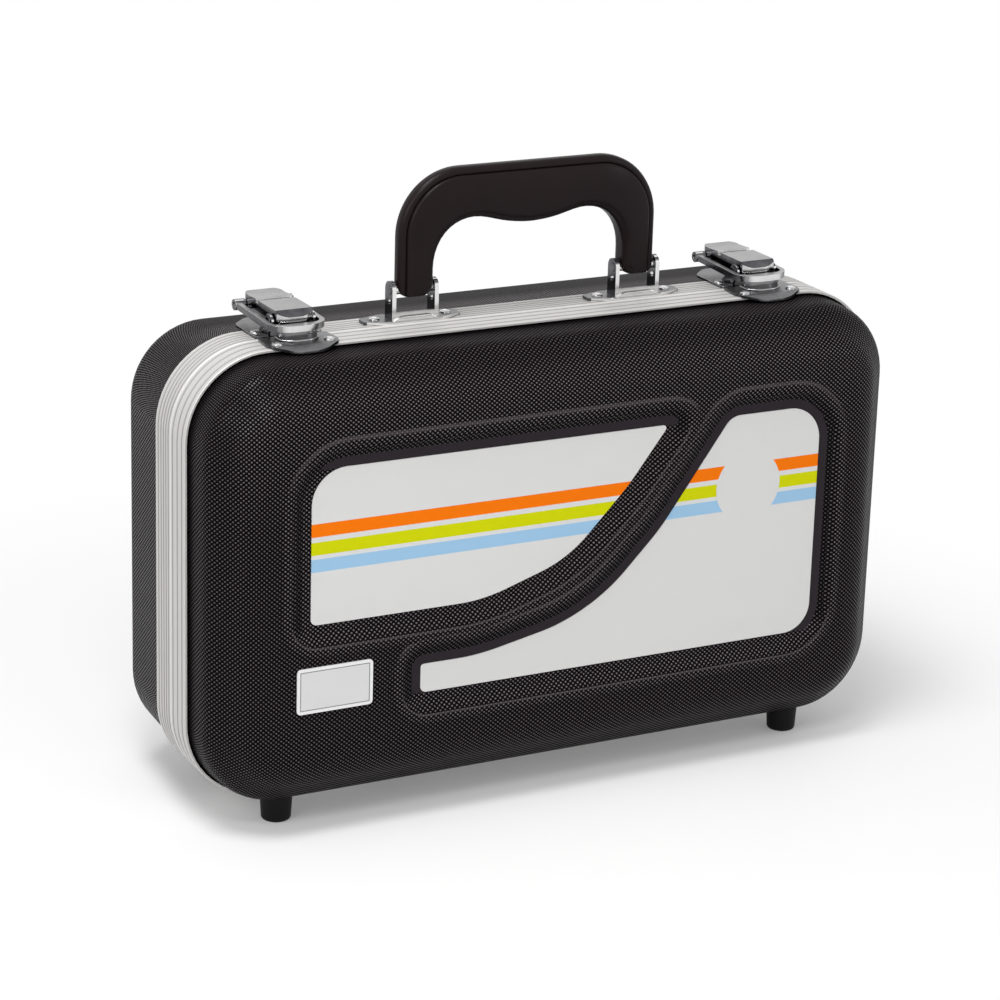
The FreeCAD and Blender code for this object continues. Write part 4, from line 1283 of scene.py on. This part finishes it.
@dataclass
class Valances:
    """The two extruded rims that hold the shell edges."""

    finishes: Finishes
    depth: float = 17.0
    skin: float = 1.2
    seam: float = 0.15
    lip_depth: float = 8.0
    lip_near: float = 4.32
    lip_far: float = 5.52
    groove_half: float = 0.42
    groove_floor: float = 0.16
    groove_deep: float = 0.35
    slot: tuple[float, float, float] = (1.6, 4.0, 1.8)
    tongue: tuple[float, float, float] = (2.2, 3.4, 1.5)
    tongue_edge: float = 0.3
    corner_steps: int = 16

    def skin_line(self, grooves: Sequence[float]) -> list[Pair]:
        """Outer face of the section, with its shallow grooves.

        Args:
            grooves: Depths of the grooves' middles.

        Returns:
            Pairs of depth and inset.
        """
        line = [(self.seam, 0.25), (self.seam + 0.25, 0.0)]
        for middle in grooves:
            line += [(middle - self.groove_half, 0.0),
                     (middle - self.groove_floor, self.groove_deep),
                     (middle + self.groove_floor, self.groove_deep),
                     (middle + self.groove_half, 0.0)]
        return line + [(self.depth - 0.4, 0.0), (self.depth, 0.4)]

    def section(self, side: Side) -> list[Pair]:
        """Closed section of one rim, as pairs of depth and inset."""
        line = self.skin_line(GROOVES[side])
        line += [(self.depth, self.skin), (FORM.web, self.skin), (FORM.web, self.lip_near),
                 (self.lip_depth, self.lip_near), (self.lip_depth, self.lip_far),
                 (self.seam, self.lip_far)]
        if side is Side.FRONT:
            near, far, deep = self.slot
            return line + [(self.seam, far), (deep, far), (deep, near), (self.seam, near)]
        near, far, tall = self.tongue
        edge = self.tongue_edge
        return line + [(self.seam, far), (edge - tall, far), (-tall, far - edge),
                       (-tall, near + edge), (edge - tall, near), (self.seam, near)]

    def rim(self, name: str, side: Side) -> bpy.types.Object:
        """Carries the section once round the case."""
        straight_x = FORM.half_length - FORM.corner
        straight_z = FORM.height / 2 - FORM.corner
        ring = [(FORM.level(side, depth), FORM.top - inset, 0.0)
                for depth, inset in self.section(side)]
        piece = Workpiece(name, ring, Plane.YZ, -straight_x, filled=False)
        piece.push(2 * straight_x)
        for sign_x, sign_z, step in ((1, 1, (0, 0, -2 * straight_z)),
                                     (1, -1, (-2 * straight_x, 0, 0)),
                                     (-1, -1, (0, 0, 2 * straight_z)), (-1, 1, None)):
            centre = Vector((sign_x * straight_x, 0.0, FORM.middle + sign_z * straight_z))
            piece.turn(-90.0, centre, self.corner_steps)
            if step:
                piece.pull(*step)
        return piece.cleaned().off_bench()

    def build(self) -> None:
        """Builds and delivers both rims."""
        for side, body, node in ((Side.FRONT, "lid", "front_valance"),
                                 (Side.REAR, "case", "rear_valance")):
            shape = self.rim(body + "_valance", side)
            deliver(shape, self.finishes.aluminium, body, [node], 30.0)


@dataclass
class Lining:
    """Plush tray in the body and the thin pad in the lid."""

    finishes: Finishes
    inward: float = 4.62
    drop: float = 2.0
    rim: float = 2.4
    chords: tuple[int, int] = (3, 3)
    shell_gap: float = 0.3
    mouth_radius: float = 3.0
    deepest_flat_bed: float = 10.0
    hair: float = 0.02
    pockets: tuple[tuple[float, float, float, float, float, float], ...] = (
        (-159.0, 87.0, 162.0, 202.0, 44.0, 20.0), (93.0, 159.0, 162.0, 202.0, 44.0, 20.0),
        (-168.0, 94.0, 112.0, 156.0, 44.0, 22.0), (100.0, 168.0, 112.0, 156.0, 44.0, 22.0),
        (-151.0, -43.0, 24.0, 104.0, 68.0, 40.0), (-35.0, 151.0, 24.0, 60.0, 40.0, 5.0),
        (-35.0, 55.0, 68.0, 104.0, 40.0, 5.0), (61.0, 151.0, 68.0, 104.0, 40.0, 5.0))
    pad_outline: tuple[float, float, float, float, float] = (-150.0, 150.0, 39.8, 192.8, 22.0)
    pad_level: float = -59.4
    pad_crown: tuple[Pair, ...] = (
        (0.0, 0.0), (1.4, 0.0), (2.5, 0.5), (3.2, 1.5), (3.5, 3.0), (2.7, 4.4), (2.9, 5.0),
        (3.7, 6.4), (4.3, 8.6), (4.7, 11.6), (4.9, 15.0), (5.0, 18.5))

    def hollow(self, index: int) -> bpy.types.Object:
        """Cutting solid of one cavity: soft mouth, straight walls and a rounded bed."""
        x0, x1, z0, z1, depth, bed = self.pockets[index]
        mouth, floor = FORM.level(Side.REAR, self.drop), FORM.level(Side.REAR, depth)
        turns = [math.pi / 2 * turn / 5 for turn in range(6)]
        stations = [(-1.0, 0.0)]
        stations += [(self.rim * (1 - math.cos(turn)), self.rim * math.sin(turn))
                     for turn in turns]
        stations.append((depth - self.drop, self.rim))
        ring = grown(rounded_box(x0, x1, z0, z1, self.mouth_radius), self.rim)
        piece = Workpiece(f"cavity_{index}", ring, Plane.XZ, mouth - 1.0, arc=5)
        piece.follow(stations).cleaned()
        if bed < self.deepest_flat_bed:
            piece.edges(lambda at: abs(at.y - floor) < SAME_PLACE, 20.0).soften(bed * 0.55, 4)
            return piece.off_bench()
        return work(piece.off_bench(), self.bed(index, mouth, floor), Cut.SHARED)

    def bed(self, index: int, mouth: float, floor: float) -> bpy.types.Object:
        """Round-bottomed block that a cavity is narrowed to below its mouth.

        Args:
            index: Which cavity.
            mouth: Y of the tray's face.
            floor: Y of the cavity's lowest line.

        Returns:
            The block.
        """
        x0, x1, z0, z1, _, bed = self.pockets[index]
        hair, wide, neck, radius = self.hair, self.rim + 2.0, mouth + 3.0, bed - 0.5
        line = [(mouth - 2.0, z0 - wide, 0.0), (neck, z0 - wide, 0.0), (neck, z0 + hair, 0.0),
                (floor - hair, z0 + hair, radius), (floor - hair, z1 - hair, radius),
                (neck, z1 - hair, 0.0), (neck, z1 + wide, 0.0), (mouth - 2.0, z1 + wide, 0.0)]
        return prism("bed", line, Plane.YZ, x0 - wide, x1 + wide, 14)

    def tray(self) -> bpy.types.Object:
        """Foam block that fills the body, shaped to the taken-down clarinet."""
        depth = FORM.body_depth - FORM.wall - self.shell_gap + self.inward
        section = FORM.section(depth, self.inward, self.drop, self.chords)
        level = FORM.level(Side.REAR, self.drop)
        piece = FORM.carried("plush_tray", Side.REAR, section, 10).cleaned()
        piece.edges(lambda at: abs(at.y - level) < SAME_PLACE, 20.0).soften(1.2, 3)
        shape = piece.off_bench()
        for index in range(len(self.pockets)):
            work(shape, self.hollow(index), Cut.AWAY)
        return shape

    def pad(self) -> bpy.types.Object:
        """Crowned pad behind the panels, with a sewn line near its edge."""
        ring = rounded_box(*self.pad_outline)
        piece = Workpiece("lid_lining_pad", ring, Plane.XZ, self.pad_level)
        return piece.follow(self.pad_crown).cleaned().off_bench()

    def build(self) -> None:
        """Builds and delivers the tray and the pad."""
        deliver(self.tray(), self.finishes.plush, "case", ["tray"], 50.0)
        pad = deliver(self.pad(), self.finishes.plush, "lid", ["lid_pad"], 60.0)


@dataclass
class CarryingHandle:
    """Moulded handle with its creased outer edge, and the two riveted brackets."""

    finishes: Finishes
    axis: Pair = (-8.2, 238.0)
    half_width: float = 67.0
    rise: float = 55.3
    thick: float = 15.0
    leg: float = 17.2
    edge: float = 5.5
    shoulder: float = 30.8
    section: tuple[Pair, ...] = (
        (0.0, 1.3), (0.35, 2.3), (1.0, 3.1), (1.9, 3.65), (2.8, 3.8), (3.3, 3.55), (3.6, 3.15),
        (3.9, 4.1), (4.3, 4.7), (5.0, 5.0), (6.4, 5.45), (8.4, 6.0), (10.8, 6.6), (13.4, 7.1),
        (16.4, 7.4), (20.0, 7.5), (29.0, 7.5))
    bracket_x: float = 58.4
    bracket_y: float = -5.8
    bracket_halves: tuple[float, float, float, float] = (6.9, 3.588, 24.5, 13.72)
    bracket_sheet: float = 1.5
    ear_sheet: float = 2.0
    ear_reach: Pair = (3.6, 4.25)
    ear_gap: float = 1.2
    holes: tuple[Pair, ...] = ((0.0, 2.26), (5.0, 1.5))
    turn_steps: int = 20

    def outline(self) -> list[Corner]:
        """Side view of the handle."""
        low, top = self.axis[1] - 3.5, self.axis[1] + self.rise
        inner = self.half_width - self.leg
        swell_z, swell_x = top - 28.3, 8.1
        knee = swell_z + (inner - swell_x) * math.tan(math.radians(14.5))
        beyond = 8.0
        half = [(swell_x, swell_z, 60.0), (inner, knee, 22.0), (inner, low, 6.0),
                (self.half_width + 0.05, low, 6.0), (self.half_width + 0.05, low + 14.0, 0.0),
                (self.half_width + beyond, low + 24.0, 0.0),
                (self.half_width + beyond, top + beyond, 0.0)]
        return half + [(-x, z, radius) for x, z, radius in reversed(half)]

    def grip(self) -> bpy.types.Object:
        """The handle itself: its side view shared with the section carried along its arch."""
        y0, y1 = self.axis[0] - self.thick / 2, self.axis[0] + self.thick / 2
        piece = Workpiece("grip", self.outline(), Plane.XZ, y0, arc=12).push(y1 - y0).cleaned()
        piece.edges(lambda at: min(abs(at.y - y0), abs(at.y - y1)) < SAME_PLACE, 30.0)
        piece.soften(self.edge, 8)
        return work(piece.off_bench(), self.arch(), Cut.SHARED)

    def arch(self) -> bpy.types.Object:
        """Domed section with its rim and groove, carried up a leg, over the top and down."""
        start, bend_z = self.axis[1] - 12.0, self.axis[1] + self.rise - self.shoulder
        left = [(inset - self.half_width, self.axis[0] - half, 0.0) for inset, half in self.section]
        right = [(u, 2 * self.axis[0] - v, 0.0) for u, v, _ in reversed(left)]
        straight, height = self.half_width - self.shoulder, bend_z - start
        piece = Workpiece("arch", left + right, Plane.XY, start)
        piece.push(height)
        for x, step in ((-straight, (2 * straight, 0.0, 0.0)), (straight, (0.0, 0.0, -height))):
            piece.turn(-90.0, Vector((x, 0.0, bend_z)), self.turn_steps).pull(*step)
        return piece.cleaned().off_bench()

    def bracket(self, name: str, x: float) -> bpy.types.Object:
        """Plate with two ears, a low front lip and a pressed front rib."""
        top, mid_y, axis_z = FORM.top, self.bracket_y, self.axis[1]
        wide, end, long, flat = self.bracket_halves
        lower = [(x - long, mid_y - end, 1.8), (x - flat, mid_y - wide, 6.0),
                 (x + flat, mid_y - wide, 6.0), (x + long, mid_y - end, 1.8)]
        upper = [(u, 2 * mid_y - v, radius) for u, v, radius in reversed(lower)]
        shape = prism(name, lower + upper, Plane.XY, top, top + self.bracket_sheet, 6)
        inner, foot, above = self.leg / 2 + self.ear_gap, top + 0.4, axis_z + self.ear_reach[1]
        y0, y1 = self.axis[0] - self.ear_reach[0], self.axis[0] + self.ear_reach[1]
        ear = [(y0, foot, 0.0), (y1, foot, 0.0), (y1, above, 3.9), (y0, above, 3.9)]
        eared(shape, ear, x, inner, self.ear_sheet, 8)
        lip = rounded_box(x - inner, x + inner, foot, top + 5.1, 0.3)
        work(shape, prism("lip", lip, Plane.XZ, y0, y0 + 1.5, 2), Cut.ONTO)
        lens = [(x - 12.5, top + 0.7, 0.0), (x + 12.5, top + 0.7, 0.0), (x + 8.0, top + 3.6, 7.0),
                (x - 8.0, top + 3.6, 7.0)]
        rib = prism("lens", lens, Plane.XZ, y0 - 1.1, y0 + 0.3, 6)
        work(shape, edge_round(rib, 0.45, 60.0, 3), Cut.ONTO)
        for drop, radius in self.holes:
            bored(shape, x, inner + 4.0, (self.axis[0], axis_z - drop), radius, 24)
        return edge_round(shape, 0.32, 40.0, 2)

    def build(self) -> None:
        """Builds and delivers the handle and both brackets."""
        deliver(self.grip(), self.finishes.handle, "carrying_handle", ["handle"],
                50.0)
        for side, x in (("left", -self.bracket_x), ("right", self.bracket_x)):
            shape = self.bracket("bracket_" + side, x)
            deliver(shape, self.finishes.bright, "case",
                    ["handle_bracket_" + side])


LATCH_X = 121.608


@dataclass
class Latch:
    """One over-centre drawbolt latch: base, lever, strap loop and keeper."""

    finishes: Finishes
    side: str
    x: float
    fulcrum: Pair = (-13.5, 231.0)
    loop_pin: Pair = (17.5, 231.3)
    bar: Pair = (-25.0, 229.8)
    half: float = 9.0
    sheet: float = 1.2
    strap: float = 2.4
    tall: float = 3.0
    loop_half: float = 14.1
    pin_hole: float = 1.26
    eye: float = 2.6
    ear_half: float = 3.4
    ear_gap: float = 0.6
    eye_gap: float = 0.3
    lap: float = 0.4

    def across(self, corners: Sequence[Corner]) -> list[Corner]:
        """Outline symmetric about the latch's middle, from the corners of its right half."""
        right = [(self.x + u, v, radius) for u, v, radius in corners]
        return right + [(2 * self.x - u, v, radius) for u, v, radius in reversed(right)]

    def base(self) -> bpy.types.Object:
        """Base plate with the two leaning ears that carry the lever."""
        y0, y1, wide, top = -12.9, 20.1, 16.4, FORM.top
        plan = self.across([(wide, y0, 2.5), (wide, y1 - wide / 2, 5.4), (wide / 2, y1, 5.4)])
        shape = prism("latch_plate_" + self.side, plan, Plane.XY, top, top + self.sheet, 5)
        pin_y, pin_z = self.fulcrum
        foot, knee, ear = top + self.lap, top + self.lap + 2.0, self.ear_half
        lean = [(y0, foot, 0.0), (y0 + 10.0, foot, 0.0), (y0 + 10.0, knee, 0.8),
                (pin_y + ear, pin_z, 1.0), (pin_y + ear, pin_z + ear, 3.3),
                (pin_y - ear, pin_z + ear, 3.3), (pin_y - ear, pin_z, 1.0), (y0, knee, 0.6)]
        eared(shape, lean, self.x, self.half + self.ear_gap, self.sheet, 6)
        bored(shape, self.x, wide, self.fulcrum, self.pin_hole)
        return edge_round(shape, 0.25, 40.0, 2)

    def profile(self, thin: float) -> list[Corner]:
        """Side outline of the lever, or of the hollow under its top when drawn in."""
        pin_y, pin_z = self.fulcrum
        end_y, end_z = self.loop_pin
        nose, top = pin_y - 6.0 + thin, pin_z + 5.5 - thin
        back, tab = pin_y + 15.5, pin_y + 18.5
        rear, low, eye = tab + 16.0, pin_z - self.ear_half, self.eye
        line = [(nose, pin_z, 0.0), (nose, top - 3.0, 0.0), (nose + 3.0, top, 0.0),
                (back - thin, top, 0.5), (back + 0.5 - thin / 2, top - 1.6, 0.5),
                (tab + thin / 2, top - 1.6, 0.3), (tab + thin, top + 0.2, 0.3),
                (tab + 4.0, top, 6.0), (tab + 9.0, top - 0.25, 8.0)]
        if thin:
            return line + [(rear + 2.0, top + 0.1, 0.0), (rear + 2.0, low - 2.0, 0.0),
                           (nose, low - 2.0, 0.0)]
        return line + [(rear - 0.6, top + 0.1, 0.0), (rear, top - 0.4, 0.0), (rear, top - 1.2, 0.0),
                       (end_y + eye, end_z - eye, 1.0), (end_y - eye, end_z - eye, 0.0),
                       (pin_y + self.ear_half, low, 0.0), (pin_y - self.ear_half, low, 1.0)]

    def lever(self) -> bpy.types.Object:
        """Folded lever: box with a bowed nose, step and dished finger tab."""
        x, half, inner = self.x, self.half, self.half - self.sheet
        shape = prism("latch_lever_" + self.side, self.profile(0.0), Plane.YZ, x - half, x + half,
                      5)
        nose, rear = self.fulcrum[0] - 6.0, self.fulcrum[0] + 34.5
        plan = self.across([(half / 2, nose, 9.0), (half, nose + 1.8, 0.4), (half, rear, 5.0)])
        work(shape, prism("plan", plan, Plane.XY, FORM.top - 0.8, FORM.top + 19.2), Cut.SHARED)
        work(shape, prism("hollow", self.profile(self.sheet), Plane.YZ, x - inner, x + inner, 4),
             Cut.AWAY)
        for pin in (self.fulcrum, self.loop_pin):
            bored(shape, x, half + 2.0, pin, self.pin_hole)
        return edge_round(shape, 0.32, 40.0, 2)

    def loop_plan(self, front: float, rear: float, inset: float) -> list[Corner]:
        """Outline of the strap loop from above, with its bowed front.

        Args:
            front: Y of the bow.
            rear: Y of the open end.
            inset: Distance inside the strap's outer face.

        Returns:
            The outline's corners.
        """
        half = self.loop_half
        return grown(self.across([(6.0, front, 14.0), (half, front + 4.5, 6.5), (half, rear, 0.0)]),
                     -inset)

    def loop(self) -> bpy.types.Object:
        """Strap loop with rolled eyes."""
        eye_y, eye_z = self.loop_pin
        bar_y, bar_z = self.bar
        length = math.hypot(eye_y - bar_y, eye_z - bar_z)
        tilt = math.atan2(eye_z - bar_z, eye_y - bar_y)
        front, low = eye_y - length - self.strap / 2, eye_z - self.tall / 2
        shape = prism("latch_loop_" + self.side, self.loop_plan(front, eye_y, 0.0), Plane.XY, low,
                      low + self.tall, 10)
        mouth = self.loop_plan(front, eye_y + self.strap + 2.0, self.strap)
        work(shape, prism("mouth", mouth, Plane.XY, low - 1.0, low + self.tall + 1.0, 10), Cut.AWAY)
        inner, outer = self.half + self.eye_gap, self.loop_half + self.eye_gap
        for start, end in ((-outer, -inner), (inner, outer)):
            eye = rod("eye", self.x + start, self.x + end, self.loop_pin, self.eye, 28)
            work(shape, eye, Cut.ONTO)
        bored(shape, self.x, outer + 1.0, self.loop_pin, self.pin_hole)
        edge_round(shape, 0.45, 40.0, 3)
        bpy.ops.object.mode_set(mode="EDIT")
        bpy.ops.mesh.select_all(action="SELECT")
        bpy.ops.transform.rotate(value=-tilt, orient_axis="X",
                                 center_override=(self.x * MM, eye_y * MM, eye_z * MM))
        bpy.ops.object.mode_set(mode="OBJECT")
        return shape

    def keeper(self) -> bpy.types.Object:
        """Bowed keeper plate that bends down in front, with its step and the hump."""
        x, top, bar_y = self.x, FORM.top, self.bar[0]
        rear, fold, front = -14.5, -30.5, -36.5
        face = top + self.sheet
        section = [(rear, top, 0.0), (rear, face, 0.0), (fold, face, 8.0),
                   (front - 2.0, face - 2.1, 0.0), (front - 2.0, top - 2.1, 0.0),
                   (fold, top, 8.0)]
        shape = prism("latch_keeper_" + self.side, section, Plane.YZ, x - 20.0, x + 20.0, 5)
        plan = self.across([(7.0, front, 12.0), (16.4, front + 6.4, 2.5),
                            (17.6, front + 11.0, 2.5), (16.6, rear, 0.5)])
        work(shape, prism("plan", plan, Plane.XY, top - 5.8, top + 4.2), Cut.SHARED)
        ledge = self.across([(4.8, bar_y - 2.9, 6.0), (9.6, bar_y + 1.5, 2.5), (9.6, -16.5, 1.0)])
        step = prism("step", ledge, Plane.XY, top + 0.5, face + 1.1, 6)
        work(shape, edge_round(step, 0.4, 60.0, 3), Cut.ONTO)
        crest = self.across([(5.4, bar_y + 1.55, 9.0), (10.4, bar_y + 4.2, 0.4)])
        hump = prism("hump", crest, Plane.XY, top + self.lap, face + 7.0)
        work(shape, edge_round(hump, 0.5, 60.0, 3), Cut.ONTO)
        return edge_round(shape, 0.28, 50.0, 2)

    def build(self) -> None:
        """Builds and delivers the latch."""
        # The keeper and the base take the darker copy of the chrome, as painted shade.
        plate, moving = self.finishes.dark, self.finishes.chrome
        for shape, material, body, node in (
                (self.base(), plate, "case", "latch_base_"),
                (self.lever(), moving, "latch_lever_" + self.side, "lever_"),
                (self.loop(), moving, "latch_loop_" + self.side, "loop_"),
                (self.keeper(), plate, "lid", "keeper_")):
            deliver(shape, material, body, [node + self.side])


@dataclass
class Fasteners:
    """Domed rivets, modelled once and copied."""

    finishes: Finishes
    radius: float = 2.6
    height: float = 1.1

    def dome(self) -> bpy.types.Object:
        """One rivet head with its foot at the origin, from a turned half section."""
        line = [(0.0, 0.0, 0.0), (self.radius, 0.0, 0.0), (self.radius, 0.25, 0.0),
                (self.radius * 0.93, 0.55, 0.0), (self.radius * 0.72, 0.86, 0.0),
                (self.radius * 0.38, 1.04, 0.0), (0.0, self.height, 0.0)]
        piece = Workpiece("rivet_head", line, Plane.XZ, 0.0, filled=False)
        return piece.lathe(20).off_bench()

    def build(self) -> None:
        """Builds and delivers every group of rivets, the hinges' upside down under the case."""
        dome, chrome, zinc = self.dome(), self.finishes.dome, self.finishes.zinc
        plate, leaf = FORM.top + 1.2, FORM.ground - 1.2
        rows = (("latch_base", "case", "latch_chrome", chrome, LATCH_X, 13.6, -5.4, plate),
                ("keeper", "lid", "latch_chrome", chrome, LATCH_X, 12.8, -27.6, plate),
                ("handle_bracket", "case", "bracket_chrome", chrome, CarryingHandle.bracket_x,
                 18.15, CarryingHandle.bracket_y, FORM.top + CarryingHandle.bracket_sheet),
                ("hinge_body", "case", "hinge_steel", zinc, 109.8, 19.8, -4.85, leaf),
                ("hinge_lid", "lid", "hinge_steel", zinc, 109.8, 19.8, -21.55, leaf))
        for name, body, slot, material, middle, apart, y, z in rows:
            heads = [copied(dome, (side * middle + end * apart, y, z), z < FORM.middle)
                     for side in (-1, 1) for end in (-1, 1)]
            deliver(joined(name + "_domes", heads), material, body, [name + "_rivets"])
        bpy.data.objects.remove(dome, do_unlink=True)


@dataclass
class Nameplate:
    """Bare plate low on the left of the front face."""

    finishes: Finishes
    half: Pair = PlateMetal.half
    centre: Pair = PlateMetal.centre
    face: float = -64.65
    thick: float = 0.6
    corner: float = 2.0
    border: float = 1.5
    field_depth: float = 0.08

    def build(self) -> None:
        """Builds and delivers the plate with a rounded edge and a shallow inset field."""
        (x, z), (wide, tall) = self.centre, self.half
        ring = rounded_box(x - wide, x + wide, z - tall, z + tall, self.corner)
        piece = Workpiece("bare_nameplate", ring, Plane.XZ, self.face, -1, arc=6)
        shape = piece.push(0.38).step(0.06, 0.14).step(0.16, 0.08).cleaned().off_bench()
        field_ring = [(u, v, 0.7) for u, v, _ in grown(ring, -self.border)]
        top = self.face - self.thick
        field = prism("field", field_ring, Plane.XZ, top - 0.3, top + self.field_depth, 4)
        work(shape, field, Cut.AWAY)
        deliver(shape, self.finishes.plate, "lid", ["nameplate"])


@dataclass(frozen=True)
class Studio:
    """Camera of the photograph, soft lamps, pale floor and white surroundings."""

    lens: float = 119.96
    place: tuple[float, float, float] = (-0.7157, -1.3320, 0.6271)
    azimuth: float = -28.07
    elevation: float = 18.35
    roll: float = 1.70
    film: float = 36.0
    ambient: float = 0.44
    lamps: tuple[tuple[str, Corner, float, float], ...] = (
        ("top_softbox", (-0.45, -0.25, 1.5), 0.5, 12.5),
        ("left_softbox", (-1.35, -0.75, 0.95), 0.6, 6.4),
        ("front_softbox", (-0.55, -0.85, 1.25), 0.35, 3.8),
        ("right_softbox", (1.2, -1.1, 0.8), 0.35, 1.6))
    aim: Corner = (0.0, 0.0, 0.12)
    floor_size: float = 24.0
    shadow_middle: float = -40.0
    shadow_reach: Pair = (170.0, 480.0)
    lift: float = 0.17

    def camera(self) -> None:
        """Sets the camera at the photograph's viewing angle."""
        turn, lift = math.radians(self.azimuth), math.radians(self.elevation)
        lean = math.radians(self.roll)
        back = Vector((math.sin(turn) * math.cos(lift), -math.cos(turn) * math.cos(lift),
                       math.sin(lift)))
        right = Vector((math.cos(turn), math.sin(turn), 0.0))
        up = back.cross(right)
        side = right * math.cos(lean) + up * math.sin(lean)
        over = up * math.cos(lean) - right * math.sin(lean)
        view = Matrix((side, over, back)).transposed().to_4x4()
        view.translation = self.place
        data = bpy.data.cameras.new("studio_camera")
        data.lens, data.sensor_width, data.clip_start = self.lens, self.film, 0.01
        camera = bpy.data.objects.new("studio_camera", data)
        bpy.context.scene.collection.objects.link(camera)
        camera.matrix_world = view
        bpy.context.scene.camera = camera

    def lamp(self, name: str, place: Corner, size: float, power: float) -> None:
        """Adds one soft square lamp that looks at the case.

        Args:
            name: Name of the lamp.
            place: Place, in metres.
            size: Side, in metres.
            power: Power, in watts.
        """
        data = bpy.data.lights.new(name, "AREA")
        data.shape, data.size, data.energy = "SQUARE", size, power
        lamp = bpy.data.objects.new(name, data)
        bpy.context.scene.collection.objects.link(lamp)
        lamp.location = place
        way = Vector(self.aim) - Vector(place)
        lamp.rotation_euler = way.to_track_quat("-Z", "Y").to_euler()

    def world(self) -> None:
        """Lights the scene evenly, and shows white to the camera and in reflections."""
        world = bpy.data.worlds.new("studio_white")
        bpy.context.scene.world = world
        world.use_nodes = True
        graph = Graph(world.node_tree)
        inputs = {"Value": graph.background_seen(), "To Min": self.ambient, "To Max": 1.0}
        level = graph.number("ShaderNodeMapRange", {}, inputs)
        backdrop = graph.nodes["Background"]
        backdrop.inputs["Color"].default_value = (1.0, 1.0, 1.0, 1.0)
        graph.links.new(level.socket, backdrop.inputs["Strength"])

    def floor(self) -> None:
        """Lays the pale floor that keeps the case's shadow."""
        bpy.ops.object.select_all(action="DESELECT")
        bpy.ops.mesh.primitive_plane_add(size=self.floor_size)
        floor = bpy.context.object
        floor.name = "studio_floor"
        finish = Finish("floor_white", Base_Color=(0.89, 0.89, 0.89, 1.0), Roughness=0.55,
                        Specular_IOR_Level=0.25)
        seen = finish.background_seen()
        off = finish.x - self.shadow_middle
        away = ((off * off + finish.y * finish.y) ** 0.5).ramp(*self.shadow_reach)
        paper = finish.node("ShaderNodeEmission", {}, {"Strength": 1.0})
        shares = {0: seen * (away * (1.0 - self.lift) + self.lift), 1: finish.surface.outputs[0],
                  2: paper.outputs[0]}
        mixed = finish.node("ShaderNodeMixShader", {}, shares)
        finish.links.new(mixed.outputs[0], finish.nodes["Material Output"].inputs["Surface"])
        floor.data.materials.append(finish.material)

    def build(self) -> None:
        """Sets up the whole studio."""
        bpy.context.scene.view_settings.view_transform = "Standard"
        self.camera()
        self.world()
        for lamp in self.lamps:
            self.lamp(*lamp)
        self.floor()


def main() -> None:
    """Builds every sub-assembly in order."""
    logging.basicConfig(level=logging.INFO, format="%(message)s")
    finishes = Finishes()
    Studio().build()
    Shells(finishes).build()
    Valances(finishes).build()
    Lining(finishes).build()
    Nameplate(finishes).build()
    CarryingHandle(finishes).build()
    for side, x in (("left", -LATCH_X), ("right", LATCH_X)):
        Latch(finishes, side, x).build()
    Fasteners(finishes).build()
    dress(["panel_left", "panel_right"], finishes.sheet)
    dress(["front_feet", "rear_feet"], finishes.rubber)
    dress(["hinge_body_leaves", "hinge_lid_leaves", "hinge_pins"], finishes.zinc)
    dress(["fulcrum_pin_left", "fulcrum_pin_right", "loop_pin_left", "loop_pin_right"],
          finishes.chrome)
    dress(["handle_pins"], finishes.bright)


if __name__ == "__main__":
    main()
